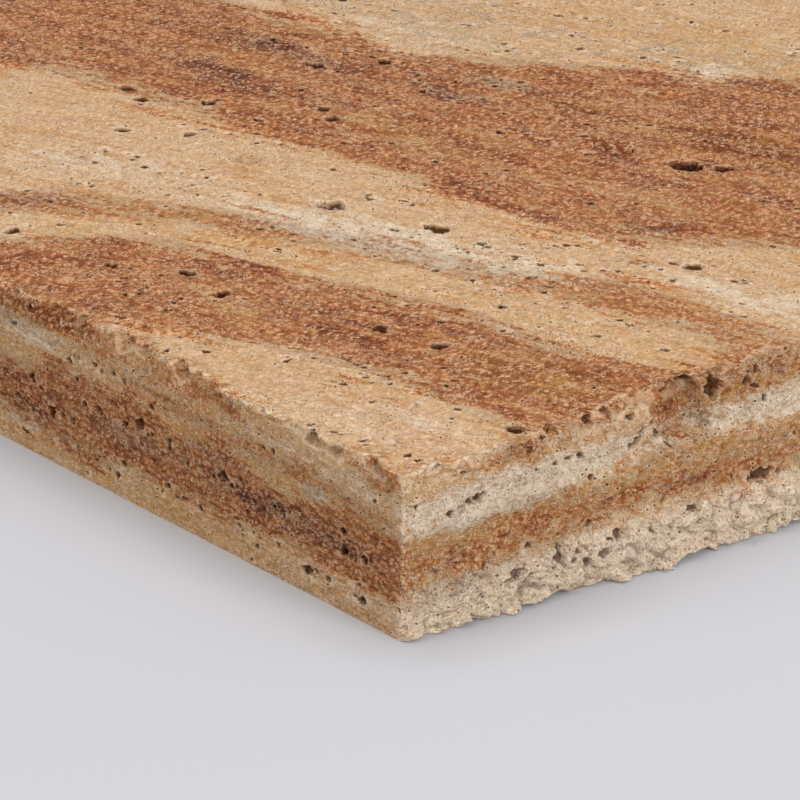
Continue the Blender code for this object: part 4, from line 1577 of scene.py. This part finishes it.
        # Painted shade in the cracks between the lumps, stronger on the sides than on the top
        crack = sheet.math("MULTIPLY", grain["cracks"], sheet.step(side, 0.0, 1.0, 0.10, 0.42))
        colour = sheet.mix(crack, colour, self.crack_painted_shade, "MULTIPLY")
        # Painted highlight in a thin ring round each hollow and round the pores of the cells
        hollow = sheet.layer("hollow")
        rim = sheet.math("MULTIPLY", sheet.step(hollow, 0.0, 0.03), sheet.step(hollow, 0.20, 0.08))
        rim = sheet.math("MAXIMUM", rim, grain["rims"])
        colour = sheet.mix(sheet.math("MULTIPLY", rim, 0.55), colour, bright)
        # Paler broken stone along the arrises, laid on as a painted highlight in a ragged line close to each
        # edge
        reach = sheet.step(grain["lumps"], 0.42, 0.62, 0.1, 1.0)
        arris = sheet.step(sheet.math("DIVIDE", sheet.layer("to_arris"), reach), 1.0, 0.4)
        arris = sheet.math("MULTIPLY", arris, sheet.step(grain["fine"], 0.42, 0.50, 0.0, 0.8))
        colour = sheet.mix(arris, colour, bright)
        # The fine pores darker: their own brown and painted shade in them
        colour = sheet.mix(sheet.math("MULTIPLY", grain["pores"], 0.95), colour, Tone.PORE, "MULTIPLY")
        # Painted shade, with the pits' own brown, where the hollow field is high; darker on the top than on
        # the sides
        deep = sheet.step(hollow, sheet.step(side, 0.0, 1.0, 0.12, 0.20),
                          sheet.step(side, 0.0, 1.0, 0.5, 0.8), 0.0, sheet.step(side, 0.0, 1.0, 0.90, 0.80))
        return sheet.mix(deep, colour, Tone.PIT, "MULTIPLY")

    def bumps(self, sheet: NodeSheet, top: Socket, grain: dict[str, Socket]) -> Socket:
        """The relief too fine for the mesh, as a normal.

        Args:
            sheet: the material's nodes.
            top: how far a point belongs to the top.
            grain: the fine relief.

        Returns:
            The bumped normal.
        """
        red = sheet.step(sheet.layer("edge"), -3.0, 1.0)
        height = sheet.math("MULTIPLY", grain["fine"], sheet.step(red, 0.0, 1.0, 1.1, 1.7))
        height = sheet.math("ADD", height, sheet.math("MULTIPLY", grain["lumps"], 1.2))
        raised = sheet.math("MULTIPLY", grain["scales"], sheet.step(red, 0.0, 1.0, 0.25, 1.0))
        height = sheet.math("SUBTRACT", height, sheet.math("MULTIPLY", raised, self.scale_height))
        height = sheet.math("SUBTRACT", height, sheet.math("MULTIPLY", grain["cracks"], 0.12))
        height = sheet.math("MULTIPLY", height, sheet.step(top, 0.0, 1.0, self.side_relief, self.top_relief))
        sunk = sheet.math("MULTIPLY", grain["sunk"], self.pore_depth)
        bump = sheet.add("ShaderNodeBump")
        bump.inputs["Strength"].default_value = 1.0
        bump.inputs["Distance"].default_value = MM
        sheet.feed(bump.inputs["Height"], sheet.math("SUBTRACT", height, sunk))
        return bump.outputs[0]


@dataclass
class PaverSlab:
    """The whole paver: one closed skin with all of the stone's relief, layers and pores."""

    name: str = "travertine_paver"
    node: str = "travertine_slab"
    triangles: int = 196_000
    crisp_angle: float = 48.0
    stone: Stone = field(default_factory=Stone)
    finish: TravertineFinish = field(default_factory=TravertineFinish)
    colouring: Colouring = field(default_factory=Colouring)

    def build(self) -> bpy.types.Object:
        """Builds and dresses the paver.

        Returns:
            The paver, in place of the plain solid.
        """
        skin = Skin()
        self.stone.shape(skin)
        log.info("%s: %d points shaped", self.name, len(skin.points))
        Pitting(self.stone).press_all(skin)
        paver = self.raise_mesh(skin)
        self.thin(paver)
        log.info("%s: thinned to %d triangles", self.name, len(paver.data.polygons))
        self.settle(paver)
        self.colour(paver)
        paver.data.materials.append(self.finish.material())
        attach(paver, "root")
        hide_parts(self.node)
        return paver

    def raise_mesh(self, skin: Skin) -> bpy.types.Object:
        """Makes the object from the skin.

        Args:
            skin: the shaped and pitted skin.

        Returns:
            The object, still in mm about the near corner.
        """
        mesh = bpy.data.meshes.new(self.name)
        mesh.from_pydata(skin.points, [], skin.faces)
        for name, kind, values in (
            ("hollow", "FLOAT", skin.hollow), ("home", "FLOAT_VECTOR", skin.box),
        ):
            layer = mesh.attributes.new(name, kind, "POINT")
            key = "vector" if kind == "FLOAT_VECTOR" else "value"
            layer.data.foreach_set(key, np.ascontiguousarray(values, np.float32).ravel())
        sides = mesh.attributes.new("side", "INT", "FACE")
        sides.data.foreach_set("value", skin.sides.astype(np.int32))
        paver = bpy.data.objects.new(self.name, mesh)
        bpy.context.scene.collection.objects.link(paver)
        return paver

    def thin(self, paver: bpy.types.Object) -> None:
        """Thins the close grid where the stone is flat and keeps it at edges, ledges and pores.

        Args:
            paver: the object, whose mesh is replaced.
        """
        close = paver.data
        thin = paver.modifiers.new("thin", "DECIMATE")
        close.calc_loop_triangles()
        thin.ratio = self.triangles / len(close.loop_triangles)
        paver.modifiers.new("cut_to_triangles", "TRIANGULATE")
        graph = bpy.context.evaluated_depsgraph_get()
        paver.data = bpy.data.meshes.new_from_object(paver.evaluated_get(graph))
        paver.modifiers.clear()
        bpy.data.meshes.remove(close)
        paver.data.name = self.name
        self.drop_flaps(paver.data)

    def drop_flaps(self, mesh: bpy.types.Mesh) -> None:
        """Takes out the stray triangles that thinning leaves standing on an edge of the closed skin.

        Args:
            mesh: the thinned mesh, in which only a stray triangle has an edge to itself.
        """
        skin = bmesh.new()
        skin.from_mesh(mesh)
        flaps = [face for face in skin.faces if any(edge.is_boundary for edge in face.edges)]
        bmesh.ops.delete(skin, geom=flaps, context="FACES")
        closed = all(edge.is_manifold for edge in skin.edges)
        skin.to_mesh(mesh)
        skin.free()
        log.info("%s: %d stray triangles taken out, closed: %s", self.name, len(flaps), closed)

    def settle(self, paver: bpy.types.Object) -> None:
        """Brings the mesh to the frame: metres, about the middle of the solid, on the ground.

        Args:
            paver: the object to place.
        """
        mesh = paver.data
        points = np.empty(len(mesh.vertices) * 3, np.float32)
        mesh.vertices.foreach_get("co", points)
        points = points.reshape(-1, 3).astype(float)
        points[:, :2] += NEAR_CORNER
        points[:, 2] = points[:, 2].clip(0.0)
        mesh.vertices.foreach_set("co", (points * MM).astype(np.float32).ravel())
        mesh.update()
        mesh.shade_smooth()
        mesh.set_sharp_from_angle(angle=math.radians(self.crisp_angle))

    def colour(self, paver: bpy.types.Object) -> None:
        """Lays the colouring on the mesh and unwraps it.

        Args:
            paver: the object to colour.
        """
        mesh = paver.data
        home = np.empty(len(mesh.vertices) * 3, np.float32)
        mesh.attributes["home"].data.foreach_get("vector", home)
        home = home.reshape(-1, 3).astype(float)
        for name, values in self.colouring.fields(home).items():
            layer = mesh.attributes.new(name, "FLOAT", "POINT")
            layer.data.foreach_set("value", values.astype(np.float32))
        self.unwrap(mesh, home)
        mesh.attributes.remove(mesh.attributes["home"])
        mesh.attributes.remove(mesh.attributes["side"])

    def unwrap(self, mesh: bpy.types.Mesh, home: Array) -> None:
        """Lays each face of the slab flat on the texture sheet, the sides as strips.

        Args:
            mesh: the mesh to unwrap.
            home: each point's place on the ruled box, in mm.
        """
        sides = np.empty(len(mesh.polygons), np.int32)
        mesh.attributes["side"].data.foreach_get("value", sides)
        corner = np.empty(len(mesh.loops), np.int32)
        mesh.loops.foreach_get("vertex_index", corner)
        side = np.repeat(sides, 3)
        sheet = np.zeros((len(corner), 2))
        margin, big, small = 0.01, 0.66, 0.30
        rows = {Face.NEAR_SAWN: 0, Face.NEAR_SPLIT: 1, Face.FAR_SAWN: 2, Face.FAR_SPLIT: 3}
        for number, face in enumerate(Face):
            on = side == number
            u, v, _, _ = face.value
            place = home[corner[on]]
            pair = np.abs(np.stack((place[:, u], place[:, v]), axis=1))
            if face in rows:
                start = (margin, 2 * margin + big + rows[face] * (0.1 * big + margin))
                sheet[on] = start + pair * (big / SIDE)
            elif face is Face.TOP:
                sheet[on] = margin + pair * (big / SIDE)
            else:
                sheet[on] = (2 * margin + big, margin) + pair * (small / SIDE)
        layer = mesh.uv_layers.new(name="OFBake")
        layer.data.foreach_set("uv", sheet.astype(np.float32).ravel())


@dataclass(frozen=True)
class PhotoCamera:
    """The camera that took the photograph, worked out from the slab's three near edges."""

    azimuth: float = 49.84
    elevation: float = 22.92
    distance: float = 777.79
    focal_pixels: float = 4732.93
    picture: float = 800.0
    aim_right: float = -0.08
    aim_up: float = 26.25
    sensor: float = 36.0
    nearest: float = 0.01
    farthest: float = 100.0

    def place(self) -> bpy.types.Object:
        """Places the camera and makes it the scene's."""
        a, e = math.radians(self.azimuth), math.radians(self.elevation)
        back = Vector((math.sin(a) * math.cos(e), -math.cos(a) * math.cos(e), math.sin(e)))
        right = Vector((math.cos(a), math.sin(a), 0.0))
        up = back.cross(right)
        corner = Vector((*NEAR_CORNER, THICKNESS / 2))
        spot = corner + right * self.aim_right + up * self.aim_up + back * self.distance
        data = bpy.data.cameras.new("photo_camera")
        data.sensor_width = self.sensor
        data.lens = self.sensor * self.focal_pixels / self.picture
        data.clip_start, data.clip_end = self.nearest, self.farthest
        camera = bpy.data.objects.new("photo_camera", data)
        turn = Matrix((right, up, back)).transposed().to_4x4()
        camera.matrix_world = Matrix.Translation(spot * MM) @ turn
        bpy.context.scene.collection.objects.link(camera)
        bpy.context.scene.camera = camera
        return camera


@dataclass(frozen=True)
class Lamp:
    """One soft box: where it hangs, how large it is in metres, and how bright in watts."""

    name: str
    spot: tuple[float, float, float]
    size: float
    power: float
    tint: tuple[float, float, float] = (1.0, 1.0, 1.0)


@dataclass(frozen=True)
class Studio:
    """A pale seamless floor under large soft boxes."""

    floor_size: float = 12.0
    floor_rough: float = 0.9
    floor_shine: float = 0.1
    sky: Rgba = (0.90, 0.91, 0.94, 1.0)
    sky_strength: float = 0.70
    lamps: tuple[Lamp, ...] = (
        Lamp("overhead_box", (-0.25, 0.10, 1.4), 0.9, 8.5),
        Lamp("right_box", (1.6, -0.1, 0.5), 0.9, 24.5),
        Lamp("left_box", (-0.4, -1.6, 0.6), 0.9, 12.6, (1.0, 0.93, 0.86)),
    )

    def set_up(self) -> None:
        """Lays the floor, hangs the lights and sets the sky."""
        mesh = bpy.data.meshes.new("studio_floor")
        half = self.floor_size / 2
        corners = [(-half, -half, 0.0), (half, -half, 0.0), (half, half, 0.0), (-half, half, 0.0)]
        mesh.from_pydata(corners, [], [(0, 1, 2, 3)])
        floor = bpy.data.objects.new("studio_floor", mesh)
        bpy.context.scene.collection.objects.link(floor)
        material = bpy.data.materials.new("pale_floor")
        material.use_nodes = True
        shader = material.node_tree.nodes["Principled BSDF"]
        shader.inputs["Base Color"].default_value = Tone.FLOOR.linear()
        shader.inputs["Roughness"].default_value = self.floor_rough
        shader.inputs["Specular IOR Level"].default_value = self.floor_shine
        mesh.materials.append(material)
        for lamp in self.lamps:
            self.hang(lamp)
        world = bpy.data.worlds.new("studio")
        world.use_nodes = True
        sky = world.node_tree.nodes["Background"]
        sky.inputs["Color"].default_value = self.sky
        sky.inputs["Strength"].default_value = self.sky_strength
        bpy.context.scene.world = world
        bpy.context.scene.view_settings.view_transform = "Standard"

    def hang(self, lamp: Lamp) -> None:
        """Hangs one soft box so that it faces the slab."""
        data = bpy.data.lights.new(lamp.name, "AREA")
        data.shape, data.size, data.energy = "SQUARE", lamp.size, lamp.power
        data.color = lamp.tint
        light = bpy.data.objects.new(lamp.name, data)
        light.location = lamp.spot
        light.rotation_mode = "QUATERNION"
        light.rotation_quaternion = Vector(lamp.spot).to_track_quat("Z", "Y")
        bpy.context.scene.collection.objects.link(light)


def main() -> None:
    """Builds the paver and the studio."""
    logging.basicConfig(level=logging.INFO, format="%(name)s: %(message)s")
    paver = PaverSlab().build()
    log.info("piece %s: %d triangles", paver.name, len(paver.data.polygons))
    Studio().set_up()
    PhotoCamera().place()


if __name__ == "__main__":
    main()
